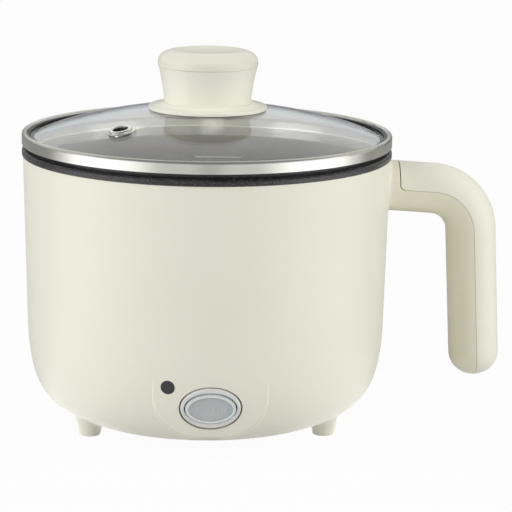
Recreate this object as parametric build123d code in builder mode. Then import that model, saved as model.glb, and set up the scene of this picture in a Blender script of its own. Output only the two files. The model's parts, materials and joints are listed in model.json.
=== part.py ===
from build123d import *
import os
from math import cos, degrees, radians, sin, sqrt, tan

# Electric hot pot with a glass lid. Millimetres, +Z up.
# Origin: on the pot's axis, at the level of the table. Handle towards +X, switch towards -Y.

# Gaps between pieces
fit_gap = 0.3
touch_gap = 0.05
slip_gap = 4 * touch_gap

# Shell: a plastic tub with a slightly tapered wall and a full, rounded belly
belly_level = 5.6
base_height = 47.3
wall_height = 82.7
shell_rim_radius = 91.4
shell_taper = 1.6
belly_tuck = 38.0
belly_side_pull = 32.4
belly_side_lean = 0.6
belly_floor_pull = 30.6
shell_wall = 2.4
waist_level = belly_level + base_height
rim_level = waist_level + wall_height
waist_radius = shell_rim_radius - shell_taper
belly_radius = waist_radius - belly_tuck

# Feet: three, two of them at the front
foot_count = 3
foot_reach = 15.2
foot_base_radius = 5.3
foot_flare = 2.3
foot_rise = 6.4
foot_blend = 4.0
foot_pad_inset = 1.5
foot_pad_height = 1.6
foot_pad_show = 0.4
foot_circle_radius = belly_radius + foot_reach
foot_top_radius = foot_base_radius + foot_flare
foot_top_level = belly_level + foot_rise
foot_pad_radius = foot_base_radius - foot_pad_inset

# Base cover and the ledge that it is screwed to
cover_thickness = 2.0
ledge_width = 12.5
cover_screw_count = 3
cover_screw_angle = 30.0
cover_boss_radius = 3.4
cover_boss_height = 9.0
cover_groove_inset = 19.7
cover_groove_width = 1.2
cover_groove_depth = 0.6
slot_count = 6
slot_circle_radius = 16.0
slot_length = 14.0
slot_width = 2.4
ledge_radius = belly_radius - ledge_width

# Inner pot: its bead rests on the shell's rim, and a lip and a step inside it hold the lid
pot_wall = 1.6
pot_bead_overhang = 0.5
pot_bead_width = 3.5
pot_bead_height = 3.6
pot_bead_round = 1.3
pot_lip_width = 1.2
pot_lip_round = 0.4
rim_shadow_gap = 2.2
lid_seat_width = 2.7
lid_seat_depth = 2.0
pot_taper = 2.1
pot_corner_radius = 20.0
pot_floor_drop = 1.3
seal_height = 6.0
pot_bead_radius = shell_rim_radius + pot_bead_overhang
pot_lip_radius = pot_bead_radius - pot_bead_width
lid_seat_radius = pot_lip_radius - pot_lip_width
pot_top_radius = lid_seat_radius - lid_seat_width
pot_foot_radius = pot_top_radius - pot_taper
pot_floor_level = waist_level - pot_floor_drop
pot_rim_top = rim_level + pot_bead_height
pot_lip_top = pot_rim_top + rim_shadow_gap - fit_gap
pot_seat_level = pot_rim_top - lid_seat_depth

# Screws
screw_radius = 1.5
screw_head_radius = 3.0
screw_head_height = 1.8
screw_clearance = 0.1
screw_hole_radius = screw_radius + screw_clearance

# Heater pack under the pot
plate_inset = 2.4
plate_thickness = 6.0
plate_chamfer = 1.0
ring_thickness = 1.6
ring_edge = 5.0
post_outset = 4.0
post_radius = 4.2
post_screw_length = 10.0
post_angles = (30, 150, 210, 330)
plate_screw_turn = 8
plate_screw_inset = 5.0
shield_inset = 3.0
shield_drop = 14.4
shield_thickness = 0.8
shield_rim_height = 2.0
stud_count = 3
stud_inset = 2.8
stud_radius = 1.5
stud_end = 1.0
nut_height = 2.4
nut_radius = 2.9
element_inset = 6.2
element_radius = 3.3
element_gap_angle = 60.0
terminal_radius = 1.9
terminal_length = 8.0
plate_radius = pot_foot_radius - pot_corner_radius - plate_inset
plate_level = pot_floor_level - pot_wall - plate_thickness
post_circle_radius = plate_radius + post_outset
ring_outer_radius = post_circle_radius + ring_edge
plate_screw_circle_radius = plate_radius - plate_screw_inset
ring_inner_radius = plate_screw_circle_radius - ring_edge
ring_level = plate_level - ring_thickness
shield_radius = ring_inner_radius - shield_inset
shield_level = plate_level - shield_drop
stud_circle_radius = shield_radius - stud_inset
element_circle_radius = stud_circle_radius - element_inset

# Thermostat with its clip, and the thermal fuse beside it
thermostat_radius = 8.0
thermostat_neck = 1.8
thermostat_height = 6.5
thermostat_cup_height = 3.0
thermostat_tab_width = 4.8
thermostat_tab_length = 7.0
thermostat_tab_depth = 2.0
thermostat_tab_thickness = 0.8
clip_thickness = 0.6
clip_width = 8.0
clip_span = 26.0
clip_foot_length = 6.0
fuse_radius = 1.9
fuse_length = 11.0
fuse_chamfer = 0.5
fuse_sleeve_wall = 0.9
fuse_sleeve_length = 22.0
fuse_offset = 20.0

# Front panel
panel_width = 54.8
panel_height = 38.9
panel_tuck = 6.0
panel_corner_radius = 22.0
panel_edge_round = 0.9
panel_upper_tuck = 0.1
panel_upper_drop = 12.9
panel_lower_tuck = 1.4
panel_lower_drop = 25.9
panel_floor_level = waist_level - panel_height
panel_floor_radius = waist_radius - panel_tuck

# Rocker switch in the panel: a key that tilts inside a fixed soft boot
switch_drop = 23.9
switch_tuck = 1.9
switch_tilt_angle = 11.0
key_half_width = 12.0
key_half_height = 7.65
key_gap = 0.55
key_rise = 1.2
key_edge_round = 0.5
key_seat_depth = 1.7
key_dish_side = 1.8
key_dish_end = 1.5
key_dish_depth = 0.5
boot_side_width = 2.2
boot_end_width = 2.85
boot_recess = 0.9
boot_edge_round = 0.6
bezel_depth = 3.6
well_gap = 0.8
well_wall = 2.0
well_depth = 6.0
well_floor_thickness = 2.0
well_sleeve_setback = 2.6
rocker_plate_thickness = 2.0
rocker_side_inset = 0.7
rocker_end_inset = 0.4
rocker_stem_width = 9.0
rocker_stem_length = 5.5
rocker_depth = 4.8
rocker_pin_radius = 1.1
rocker_pin_inset = 1.5
block_side_inset = 1.2
block_end_inset = 0.65
block_wall = 1.2
block_depth = 20.0
blade_width = 4.8
blade_thickness = 0.8
blade_length = 7.0
blade_pitch = 7.0
lamp_radius = 1.6
lamp_length = 7.0
lamp_round = 1.3
diode_radius = 2.0
diode_length = 8.0
diode_drop = 5.4
diode_setback = 4.0
diode_leg_radius = 0.4
switch_level = waist_level - switch_drop
switch_depth_radius = waist_radius - switch_tuck
boot_half_width = key_half_width + boot_side_width
boot_half_height = key_half_height + boot_end_width
well_half_width = boot_half_width + well_gap
well_half_height = boot_half_height + well_gap
rocker_pin_half_length = boot_half_height - rocker_pin_inset
block_width = 2 * (key_half_width - block_side_inset)
block_height = 2 * (key_half_height - block_end_inset)

# Power inlet on a raised pad at the back
inlet_rise = 27.9
inlet_socket_width = 24.0
inlet_socket_height = 15.0
inlet_socket_depth = 17.0
inlet_socket_corner = 3.0
inlet_body_wall = 2.0
inlet_body_floor = 5.0
inlet_flange_side = 10.5
inlet_flange_end = 2.0
inlet_flange_thickness = 2.5
inlet_flange_corner = 6.0
inlet_flange_round = 0.8
inlet_pad_border = 2.0
inlet_pad_depth = 12.0
inlet_pad_corner = 8.0
inlet_pad_round = 1.2
inlet_pin_length = 9.0
inlet_pin_width = 4.0
inlet_pin_thickness = 2.0
inlet_pin_chamfer = 0.5
inlet_screw_edge = 4.5
inlet_screw_sink = 1.4
inlet_screw_bite = 3.0
inlet_level = belly_level + inlet_rise
inlet_pad_face = waist_radius
inlet_face = inlet_pad_face + inlet_flange_thickness
inlet_body_width = inlet_socket_width + 2 * inlet_body_wall
inlet_body_height = inlet_socket_height + 2 * inlet_body_wall
inlet_body_depth = inlet_socket_depth + inlet_body_floor
inlet_flange_width = inlet_body_width + 2 * inlet_flange_side
inlet_flange_height = inlet_body_height + 2 * inlet_flange_end
inlet_screw_pitch = inlet_flange_width - 2 * inlet_screw_edge

# Leads inside the base
lead_radius = 1.2
lead_rise = 13.4
lead_shelf_gap = 0.8
lead_level = belly_level + lead_rise

# Handle: a round bent tube in two half shells, screwed to a round seat on the wall
handle_radius = 12.65
handle_wall = 2.4
handle_stand = 1.6
handle_seat_depth = 8.0
handle_blend = 1.2
handle_bend = 21.5
handle_end_rise = 16.4
handle_end_round = 12.2
arm_drop = 15.65
arm_reach = 39.5
arm_dip_angle = 3.8
grip_lean_angle = 3.3
collar_length = 2.7
collar_groove = 0.5
cover_corner_round = 2.6
spigot_length = 4.0
seam_gap = 0.16
root_screw_offset = 6.5
root_boss_radius = 3.4
root_boss_length = 12.0
root_boss_floor = 1.5
root_screw_length = 13.0
root_seat_depth = 3.8
grip_screw_end_gap = 26.4
grip_screw_bend_gap = 31.9
grip_boss_radius = 3.2
grip_boss_wall = 1.9
grip_seat_depth = 5.0
grip_screw_bite = 8.0
grip_screw_end_play = 1.0
cut_margin = 40.0
handle_root = shell_rim_radius + handle_stand
arm_level = rim_level - arm_drop

# Lid: a domed glass clamped in a stepped steel rim that stands in the pot's step
lid_seat_gap = 0.2
band_sheet = 0.6
bead_round = 1.5
bead_lift = 0.5
lid_skirt_clearance = 0.5
lid_plug_depth = 4.8
lid_plug_round = 0.25
glass_thickness = 3.2
glass_edge_gap = 0.4
glass_flat_width = 4.7
glass_rise = 14.65
glass_seal_width = 1.2
glass_seal_height = 0.8
glass_seal_round = 0.3
band_radius = pot_bead_radius

# Steam vent
vent_x = -42.6
vent_y = -41.5
vent_hole_radius = 3.6
vent_collar_width = 2.2
vent_collar_height = 1.5
vent_collar_round = 0.9
vent_mouth_round = 0.6
vent_flare_width = 2.0
vent_sleeve_wall = 0.6
vent_outer_radius = vent_hole_radius + vent_collar_width

# Lid knob: a flange on a gasket, a hollow body and a pressed-in cap
knob_base_radius = 29.4
knob_base_edge = 1.7
knob_base_height = 1.75
knob_base_arc = 14.0
knob_base_round = 0.5
knob_neck_inset = 8.0
knob_foot_gap = 1.2
knob_body_flare = 3.1
knob_body_height = 17.9
knob_body_arc = 120.0
knob_body_chamfer = 0.25
knob_floor = 5.0
knob_cap_overhang = 0.25
knob_cap_height = 7.9
knob_cap_straight = 2.4
knob_cap_gap = 0.1
knob_cap_shoulder = 8.25
knob_dish = 0.6
knob_shell = 2.4
knob_spigot_wall = 1.6
knob_spigot_depth = 2.5
knob_post_radius = 5.0
knob_post_drop = 3.0
knob_hole_radius = 4.5
knob_screw_radius = 2.0
knob_screw_head_radius = 4.0
knob_screw_head_height = 2.4
knob_screw_end_gap = 6.0
gasket_inset = 3.2
gasket_thickness = 0.8
washer_radius = 11.0
washer_thickness = 1.2
washer_round = 0.5
knob_neck_radius = knob_base_radius - knob_neck_inset
knob_shoulder_radius = knob_neck_radius + knob_body_flare
knob_cap_radius = knob_shoulder_radius + knob_cap_overhang
knob_top_radius = knob_cap_radius - knob_cap_shoulder
gasket_radius = knob_base_radius - gasket_inset
knob_bore_radius = knob_screw_radius + 2 * touch_gap


def write(piece, label):
    # Name a finished piece and write it to its file
    piece.part.label = label
    export_step(piece.part, "parts/" + label + ".step")


def ring_of(count, first_angle, radius, level=0.0):
    # Points evenly spaced on a circle about the pot's axis
    return [polar(first_angle + 360.0 / count * k, radius, level) for k in range(count)]


def polar(angle, radius, level=0.0):
    return (radius * cos(radians(angle)), radius * sin(radians(angle)), level)


# Section plane opposite the handle, where the tub's seam edge crosses no other feature
section_away = Plane(origin=(0, 0, 0), x_dir=(-1, 0, 0), z_dir=(0, 1, 0))


def tub(inset, floor):
    # Solid of revolution inside the shell's side, moved inward by inset
    with BuildPart() as solid:
        with BuildSketch(section_away):
            with BuildLine():
                Line((shell_rim_radius - inset, rim_level), (waist_radius - inset, waist_level))
                Bezier(
                    (waist_radius - inset, waist_level),
                    (waist_radius - inset - belly_side_lean, waist_level - belly_side_pull),
                    (belly_radius + belly_floor_pull, floor),
                    (belly_radius, floor),
                )
                Polyline(
                    (belly_radius, floor),
                    (0, floor),
                    (0, rim_level),
                    (shell_rim_radius - inset, rim_level),
                )
            make_face()
        revolve(axis=Axis.Z)
    return solid.part


def screw(plane, head_radius, head_height, shank_radius, shank_length):
    # Pan-head screw: the plane is the head's seat and its normal points out of the head
    cross_length = head_radius * 1.2
    cross_width = head_radius * 0.28
    with BuildPart() as solid:
        with BuildSketch(plane):
            Circle(head_radius)
        extrude(amount=head_height)
        rim = solid.edges().filter_by(GeomType.CIRCLE).sort_by(Axis(plane.origin, plane.z_dir))[-1]
        fillet(rim, head_height * 0.35)
        with BuildSketch(plane):
            Circle(shank_radius)
        extrude(amount=-shank_length)
        with BuildSketch(plane.offset(head_height)):
            Rectangle(cross_length, cross_width)
            Rectangle(cross_width, cross_length)
        extrude(amount=-head_height / 2, mode=Mode.SUBTRACT)
    return solid.part


def circles_of(piece, radius):
    # Edges that are circles of one radius, from the lowest to the highest
    circles = piece.edges().filter_by(GeomType.CIRCLE)
    return circles.filter_by(lambda edge: abs(edge.radius - radius) < 0.01).sort_by(Axis.Z)


def lead(points, radii):
    # Insulated wire along straight runs joined by arcs
    with BuildPart() as solid:
        with BuildLine() as route:
            FilletPolyline(*points, radius=radii)
        with BuildSketch(Plane(origin=route.line @ 0, z_dir=route.line % 0)):
            Circle(lead_radius)
        sweep()
    return solid


os.makedirs("parts", exist_ok=True)

# Planes and points shared by several pieces

switch_tilt = radians(switch_tilt_angle)
switch_out = (0, -cos(switch_tilt), -sin(switch_tilt))
switch_plane = Plane(origin=(0, -switch_depth_radius, switch_level), x_dir=(1, 0, 0), z_dir=switch_out)
switch_axis = Axis(switch_plane.origin, switch_plane.z_dir)
inlet_plane = Plane(origin=(0, inlet_face, inlet_level), x_dir=(-1, 0, 0), z_dir=(0, 1, 0))
foot_angles = [90 + 360 / foot_count * k for k in range(foot_count)]
cover_screw_points = ring_of(cover_screw_count, cover_screw_angle, belly_radius - ledge_width / 2)
plate_screw_angles = [angle + plate_screw_turn for angle in post_angles]
stud_points = ring_of(stud_count, 0, stud_circle_radius)
root_screw_levels = (arm_level - root_screw_offset, arm_level + root_screw_offset)

# Handle path: out along the arm, round one bend, down the grip

arm_slope = tan(radians(arm_dip_angle))
lean_slope = tan(radians(grip_lean_angle))
corner_x = handle_root + arm_reach
corner_level = arm_level - arm_reach * arm_slope
handle_end_level = belly_level + handle_end_rise
handle_end_x = corner_x + (corner_level - handle_end_level) * lean_slope


def arm_level_at(x):
    # Level of the arm's centre line
    return corner_level + (corner_x - x) * arm_slope


def handle_tube(radius, start, end_inset, end_round):
    # Round bent bar along the handle's centre line
    with BuildPart() as solid:
        with BuildLine(Plane.XZ) as path:
            FilletPolyline(
                (start, arm_level_at(start)),
                (corner_x, corner_level),
                (handle_end_x - end_inset * lean_slope, handle_end_level + end_inset),
                radius=handle_bend,
            )
        with BuildSketch(Plane(origin=path.line @ 0, z_dir=path.line % 0)):
            Circle(radius)
        sweep()
        fillet(solid.faces().sort_by(Axis.Z)[0].edges(), end_round)
    return solid.part


def inner_side(face, shift):
    # Block that covers the handle's root up to a face, and from there the side towards the pot
    block_start = handle_root - cut_margin
    block_end = handle_end_level - cut_margin
    with BuildPart() as block:
        with BuildSketch(Plane.XZ):
            with BuildLine():
                edge = FilletPolyline(
                    (face, arm_level + cut_margin),
                    (face, arm_level_at(face) - shift),
                    (corner_x - shift, corner_level - shift),
                    (handle_end_x - shift + cut_margin * lean_slope, block_end),
                    radius=(cover_corner_round, handle_bend - shift),
                )
                Polyline(edge @ 1, (block_start, block_end), (block_start, arm_level + cut_margin), edge @ 0)
            make_face()
        extrude(amount=handle_radius * 2, both=True)
    return block.part


def arm_cut(face):
    # Half space on the pot's side of an upright face across the arm, tall enough for the tube
    with BuildPart() as block:
        with BuildSketch(Plane.YZ.offset(face)):
            with Locations((0, arm_level)):
                Rectangle(handle_radius * 4, handle_radius * 4)
        extrude(amount=-cut_margin)
    return block.part


# Outer shell

def foot_junction(edge):
    # True for the closed edge where a foot meets the belly
    centre = edge.center(CenterOf.BOUNDING_BOX)
    reach = sqrt(centre.X**2 + centre.Y**2)
    low = belly_level < centre.Z < foot_top_level + foot_rise
    return low and abs(reach - foot_circle_radius) < foot_top_radius


def handle_junction(edge):
    # True for the closed edge where the handle's seat leaves the wall
    centre = edge.center(CenterOf.BOUNDING_BOX)
    central = abs(centre.Z - arm_level) < root_boss_radius and abs(centre.Y) < root_boss_radius
    on_wall = waist_radius - shell_wall < centre.X < handle_root - slip_gap
    return central and on_wall and edge.length > handle_radius


shell_blank = tub(0, belly_level)
shell_cavity = tub(shell_wall, belly_level + shell_wall)

with BuildPart() as panel_block:
    # Front panel: stays almost upright where the belly curves away behind it
    with BuildSketch(Plane.XZ):
        with BuildLine():
            Bezier(
                (waist_radius, waist_level),
                (waist_radius - panel_upper_tuck, waist_level - panel_upper_drop),
                (waist_radius - panel_lower_tuck, waist_level - panel_lower_drop),
                (panel_floor_radius, panel_floor_level),
            )
            Polyline(
                (panel_floor_radius, panel_floor_level),
                (belly_radius, panel_floor_level),
                (belly_radius, waist_level),
                (waist_radius, waist_level),
            )
        make_face()
    revolve(axis=Axis.Z)
    with BuildSketch(Plane.XZ) as panel_outline:
        with Locations((0, (panel_floor_level + waist_level) / 2)):
            Rectangle(panel_width, waist_level - panel_floor_level)
        fillet(panel_outline.vertices().group_by(Axis.Y)[0], panel_corner_radius)
    extrude(amount=shell_rim_radius, mode=Mode.INTERSECT)
    panel_edges = panel_block.faces().sort_by(Axis.Y)[0].edges()
    fillet(panel_edges.filter_by(lambda edge: edge.center().Z < waist_level - fit_gap), panel_edge_round)

with BuildPart() as feet_block:
    # One foot: a blunt cone whose top ends inside the belly
    for angle in foot_angles:
        with BuildSketch(Plane(origin=polar(angle, foot_circle_radius, foot_pad_show))):
            Circle(foot_base_radius)
        with BuildSketch(Plane(origin=polar(angle, foot_circle_radius, foot_top_level))):
            Circle(foot_top_radius)
        loft()

with BuildPart() as handle_boss:
    # Round seat that the handle's collar is screwed against
    with BuildSketch(Plane.YZ.offset(handle_root - handle_seat_depth)):
        with Locations((0, arm_level)):
            Circle(handle_radius)
    extrude(amount=handle_seat_depth)

with BuildPart() as inlet_pad:
    with BuildSketch(inlet_plane.offset(-inlet_flange_thickness)):
        RectangleRounded(
            inlet_flange_width + 2 * inlet_pad_border,
            inlet_flange_height + 2 * inlet_pad_border,
            inlet_pad_corner,
        )
    extrude(amount=-inlet_pad_depth)
    fillet(inlet_pad.faces().sort_by(Axis.Y)[-1].edges(), inlet_pad_round)

with BuildPart() as outer_shell:
    add(shell_blank)
    add(feet_block.part)
    fillet(outer_shell.edges().filter_by(foot_junction), foot_blend)
    add(panel_block.part)
    add(handle_boss.part)
    add(inlet_pad.part)
    fillet(outer_shell.edges().filter_by(handle_junction), handle_blend)
    add(shell_cavity, mode=Mode.SUBTRACT)
    # Sleeve and floor of the switch well
    with BuildSketch(switch_plane.offset(-well_depth - well_floor_thickness)):
        Ellipse(well_half_width + well_wall, well_half_height + well_wall)
    extrude(amount=well_depth + well_floor_thickness - well_sleeve_setback)
    with BuildSketch(switch_plane.offset(-well_depth)):
        Ellipse(well_half_width, well_half_height)
    extrude(amount=well_depth * 2, mode=Mode.SUBTRACT)
    with BuildSketch(switch_plane.offset(-well_depth)):
        Rectangle(block_width + 2 * fit_gap, block_height + 2 * fit_gap)
    extrude(amount=-well_floor_thickness * 2, mode=Mode.SUBTRACT)
    # Posts for the heater ring
    for angle in post_angles:
        with BuildSketch(Plane(origin=polar(angle, post_circle_radius, belly_level + cover_thickness))):
            Circle(post_radius)
        extrude(amount=ring_level - belly_level - cover_thickness)
        with BuildSketch(Plane(origin=polar(angle, post_circle_radius, ring_level))):
            Circle(screw_hole_radius)
        extrude(amount=-post_screw_length - shell_wall, mode=Mode.SUBTRACT)
    # Ledge and bosses for the base cover
    with BuildSketch(Plane.XY.offset(belly_level + cover_thickness)):
        Circle(belly_radius + shell_wall)
    extrude(amount=shell_wall)
    for point in cover_screw_points:
        with BuildSketch(Plane(origin=(point[0], point[1], belly_level + cover_thickness))):
            Circle(cover_boss_radius)
        extrude(amount=cover_boss_height)
    with BuildSketch(Plane.XY.offset(belly_level)):
        Circle(belly_radius)
    extrude(amount=cover_thickness, mode=Mode.SUBTRACT)
    with BuildSketch(Plane.XY.offset(belly_level)):
        Circle(ledge_radius)
    extrude(amount=cover_thickness + shell_wall, mode=Mode.SUBTRACT)
    for point in cover_screw_points:
        with BuildSketch(Plane(origin=(point[0], point[1], belly_level))):
            Circle(screw_hole_radius)
        extrude(amount=cover_boss_height, mode=Mode.SUBTRACT)
    # Power inlet opening with its two screw holes
    with BuildSketch(inlet_plane):
        Rectangle(inlet_body_width + 2 * fit_gap, inlet_body_height + 2 * fit_gap)
    extrude(amount=-inlet_body_depth, mode=Mode.SUBTRACT)
    with BuildSketch(inlet_plane):
        with GridLocations(inlet_screw_pitch, 0, 2, 1):
            Circle(screw_hole_radius)
    extrude(amount=-inlet_flange_thickness - 2 * inlet_screw_bite, mode=Mode.SUBTRACT)
    # Handle screw holes with flat seats inside the wall
    for level in root_screw_levels:
        with BuildSketch(Plane.YZ.offset(handle_root - handle_seat_depth)):
            with Locations((0, level)):
                Circle(screw_hole_radius)
        extrude(amount=handle_seat_depth, mode=Mode.SUBTRACT)
        with BuildSketch(Plane.YZ.offset(handle_root - handle_seat_depth)):
            with Locations((0, level)):
                Circle(screw_head_radius + fit_gap)
        extrude(amount=handle_seat_depth - root_seat_depth, mode=Mode.SUBTRACT)
    # Pockets for the foot pads
    for angle in foot_angles:
        with BuildSketch(Plane(origin=polar(angle, foot_circle_radius))):
            Circle(foot_pad_radius)
        extrude(amount=foot_pad_height, mode=Mode.SUBTRACT)
write(outer_shell, "outer_shell")

# Base cover, pads and screws

with BuildPart() as base_cover:
    with BuildSketch(Plane.XY.offset(belly_level)):
        Circle(belly_radius - fit_gap)
    extrude(amount=cover_thickness)
    for point in cover_screw_points:
        with BuildSketch(Plane(origin=(point[0], point[1], belly_level))):
            Circle(screw_hole_radius)
        extrude(amount=cover_thickness, mode=Mode.SUBTRACT)
    # Shallow ring groove and cooling slots
    with BuildSketch(Plane.XY.offset(belly_level)):
        Circle(belly_radius - cover_groove_inset)
        Circle(belly_radius - cover_groove_inset - cover_groove_width, mode=Mode.SUBTRACT)
    extrude(amount=cover_groove_depth, mode=Mode.SUBTRACT)
    with BuildSketch(Plane.XY.offset(belly_level)):
        with PolarLocations(slot_circle_radius, slot_count):
            SlotOverall(slot_length, slot_width)
    extrude(amount=cover_thickness, mode=Mode.SUBTRACT)
write(base_cover, "base_cover")

with BuildPart() as base_screws:
    for point in cover_screw_points:
        seat = Plane(origin=(point[0], point[1], belly_level), z_dir=(0, 0, -1))
        add(screw(seat, screw_head_radius, screw_head_height, screw_radius, cover_boss_height))
write(base_screws, "base_screws")

with BuildPart() as foot_pads:
    for angle in foot_angles:
        with BuildSketch(Plane(origin=polar(angle, foot_circle_radius))):
            Circle(foot_pad_radius - touch_gap)
        extrude(amount=foot_pad_height)
write(foot_pads, "foot_pads")

# Inner pot and its seal

with BuildPart() as inner_pot:
    with BuildSketch(Plane.XZ) as pot_section:
        with BuildLine():
            inside = FilletPolyline(
                (pot_top_radius, pot_seat_level),
                (pot_foot_radius, pot_floor_level),
                (0, pot_floor_level),
                radius=pot_corner_radius - pot_wall,
            )
            outside = FilletPolyline(
                (0, pot_floor_level - pot_wall),
                (pot_foot_radius + pot_wall, pot_floor_level - pot_wall),
                (pot_top_radius + pot_wall, rim_level),
                radius=pot_corner_radius,
            )
            Line(inside @ 1, outside @ 0)
            Polyline(
                outside @ 1,
                (pot_bead_radius, rim_level),
                (pot_bead_radius, pot_rim_top),
                (pot_lip_radius, pot_rim_top),
                (pot_lip_radius, pot_lip_top),
                (lid_seat_radius, pot_lip_top),
                (lid_seat_radius, pot_seat_level),
                inside @ 0,
            )
        make_face()
    revolve(axis=Axis.Z)
    fillet(circles_of(inner_pot, pot_bead_radius)[-1], pot_bead_round)
    fillet(circles_of(inner_pot, pot_bead_radius)[0], pot_bead_round / 2)
    fillet(circles_of(inner_pot, pot_lip_radius)[-1], pot_lip_round)
    fillet(circles_of(inner_pot, lid_seat_radius)[-1], pot_lip_round)
write(inner_pot, "inner_pot")

with BuildPart() as pot_seal:
    with BuildSketch(Plane.XY.offset(rim_level - seal_height)):
        Circle(shell_rim_radius - shell_wall - slip_gap)
        Circle(pot_top_radius + pot_wall + slip_gap, mode=Mode.SUBTRACT)
    extrude(amount=seal_height - touch_gap)
write(pot_seal, "pot_seal")

# Heater pack

with BuildPart() as heater_plate:
    with BuildSketch(Plane.XY.offset(plate_level)):
        Circle(plate_radius)
    extrude(amount=plate_thickness)
    for angle in plate_screw_angles:
        with BuildSketch(Plane(origin=polar(angle, plate_screw_circle_radius, plate_level))):
            Circle(screw_hole_radius)
        extrude(amount=plate_thickness - plate_chamfer, mode=Mode.SUBTRACT)
    chamfer(heater_plate.faces().sort_by(Axis.Z)[-1].edges(), plate_chamfer)
write(heater_plate, "heater_plate")

element_level = plate_level - element_radius - touch_gap
element_start = 90 + element_gap_angle / 2

with BuildPart() as heating_element:
    with BuildLine(Plane.XY.offset(element_level)) as element_path:
        CenterArc((0, 0), element_circle_radius, element_start, 360 - element_gap_angle)
    with BuildSketch(Plane(origin=element_path.line @ 0, z_dir=element_path.line % 0)):
        Circle(element_radius)
    sweep()
write(heating_element, "heating_element")

terminal_turn = degrees((terminal_radius + touch_gap) / element_circle_radius)
terminal_points = [
    polar(element_start - terminal_turn, element_circle_radius, element_level + element_radius),
    polar(180 - element_start + terminal_turn, element_circle_radius, element_level + element_radius),
]
with BuildPart() as element_terminals:
    for point in terminal_points:
        with BuildSketch(Plane(origin=point)):
            Circle(terminal_radius)
        extrude(amount=-terminal_length)
write(element_terminals, "element_terminals")

with BuildPart() as support_ring:
    with BuildSketch(Plane.XY.offset(ring_level)):
        Circle(ring_outer_radius)
        Circle(ring_inner_radius, mode=Mode.SUBTRACT)
        with Locations(*[polar(angle, post_circle_radius)[:2] for angle in post_angles]):
            Circle(screw_hole_radius, mode=Mode.SUBTRACT)
        with Locations(*[polar(angle, plate_screw_circle_radius)[:2] for angle in plate_screw_angles]):
            Circle(screw_hole_radius, mode=Mode.SUBTRACT)
    extrude(amount=ring_thickness)
write(support_ring, "support_ring")

plate_screw_length = ring_thickness + plate_thickness - 2 * plate_chamfer
with BuildPart() as ring_screws:
    for angle in post_angles:
        seat = Plane(origin=polar(angle, post_circle_radius, ring_level + ring_thickness))
        add(screw(seat, screw_head_radius, screw_head_height, screw_radius, post_screw_length))
    for angle in plate_screw_angles:
        seat = Plane(origin=polar(angle, plate_screw_circle_radius, ring_level), z_dir=(0, 0, -1))
        add(screw(seat, screw_head_radius, screw_head_height, screw_radius, plate_screw_length))
write(ring_screws, "ring_screws")

with BuildPart() as heat_shield:
    with BuildSketch(Plane.XY.offset(shield_level)):
        Circle(shield_radius)
    extrude(amount=shield_rim_height)
    with BuildSketch(Plane.XY.offset(shield_level + shield_thickness)):
        Circle(shield_radius - shield_thickness)
    extrude(amount=shield_rim_height, mode=Mode.SUBTRACT)
    with BuildSketch(Plane.XY.offset(shield_level)):
        with Locations(*[point[:2] for point in stud_points]):
            Circle(stud_radius + screw_clearance)
    extrude(amount=shield_thickness, mode=Mode.SUBTRACT)
write(heat_shield, "heat_shield")

with BuildPart() as shield_studs:
    for point in stud_points:
        with BuildSketch(Plane(origin=(point[0], point[1], shield_level - nut_height - stud_end))):
            Circle(stud_radius)
        extrude(amount=plate_level - shield_level + nut_height + stud_end)
write(shield_studs, "shield_studs")

with BuildPart() as shield_nuts:
    with BuildSketch(Plane.XY.offset(shield_level - nut_height)):
        with Locations(*[point[:2] for point in stud_points]):
            RegularPolygon(nut_radius, 6)
            Circle(stud_radius + touch_gap, mode=Mode.SUBTRACT)
    extrude(amount=nut_height)
write(shield_nuts, "shield_nuts")

with BuildPart() as thermostat:
    with BuildSketch(Plane.XY.offset(plate_level - thermostat_height)):
        Circle(thermostat_radius - thermostat_neck)
    extrude(amount=thermostat_height)
    with BuildSketch(Plane.XY.offset(plate_level - thermostat_cup_height)):
        Circle(thermostat_radius)
    extrude(amount=thermostat_cup_height)
    with BuildSketch(Plane.XY.offset(plate_level - thermostat_tab_depth)):
        with GridLocations(0, 2 * thermostat_radius + thermostat_tab_length, 1, 2):
            Rectangle(thermostat_tab_width, thermostat_tab_length + 2 * fit_gap)
    extrude(amount=-thermostat_tab_thickness)
write(thermostat, "thermostat")

clip_level = plate_level - thermostat_height - clip_thickness
with BuildPart() as thermostat_clip:
    with BuildSketch(Plane.XY.offset(clip_level)):
        Rectangle(clip_span, clip_width)
    extrude(amount=clip_thickness)
    with BuildSketch(Plane.XY.offset(clip_level)):
        with GridLocations(clip_span - clip_thickness, 0, 2, 1):
            Rectangle(clip_thickness, clip_width)
    extrude(amount=plate_level - clip_level)
    with BuildSketch(Plane.XY.offset(plate_level - clip_thickness)):
        with GridLocations(clip_span + clip_foot_length - 2 * clip_thickness, 0, 2, 1):
            Rectangle(clip_foot_length, clip_width)
    extrude(amount=clip_thickness)
write(thermostat_clip, "thermostat_clip")

fuse_level = plate_level - fuse_radius - fuse_sleeve_wall - touch_gap * 2
fuse_plane = Plane(origin=(-fuse_length / 2, -fuse_offset, fuse_level), z_dir=(1, 0, 0))
sleeve_plane = Plane(origin=(-fuse_sleeve_length / 2, -fuse_offset, fuse_level), z_dir=(1, 0, 0))
with BuildPart() as thermal_fuse:
    with BuildSketch(fuse_plane):
        Circle(fuse_radius)
    extrude(amount=fuse_length)
    chamfer(thermal_fuse.edges().filter_by(GeomType.CIRCLE), fuse_chamfer)
write(thermal_fuse, "thermal_fuse")

with BuildPart() as fuse_sleeve:
    with BuildSketch(sleeve_plane):
        Circle(fuse_radius + touch_gap + fuse_sleeve_wall)
        Circle(fuse_radius + touch_gap, mode=Mode.SUBTRACT)
    extrude(amount=fuse_sleeve_length)
write(fuse_sleeve, "fuse_sleeve")

# Rocker switch


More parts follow.
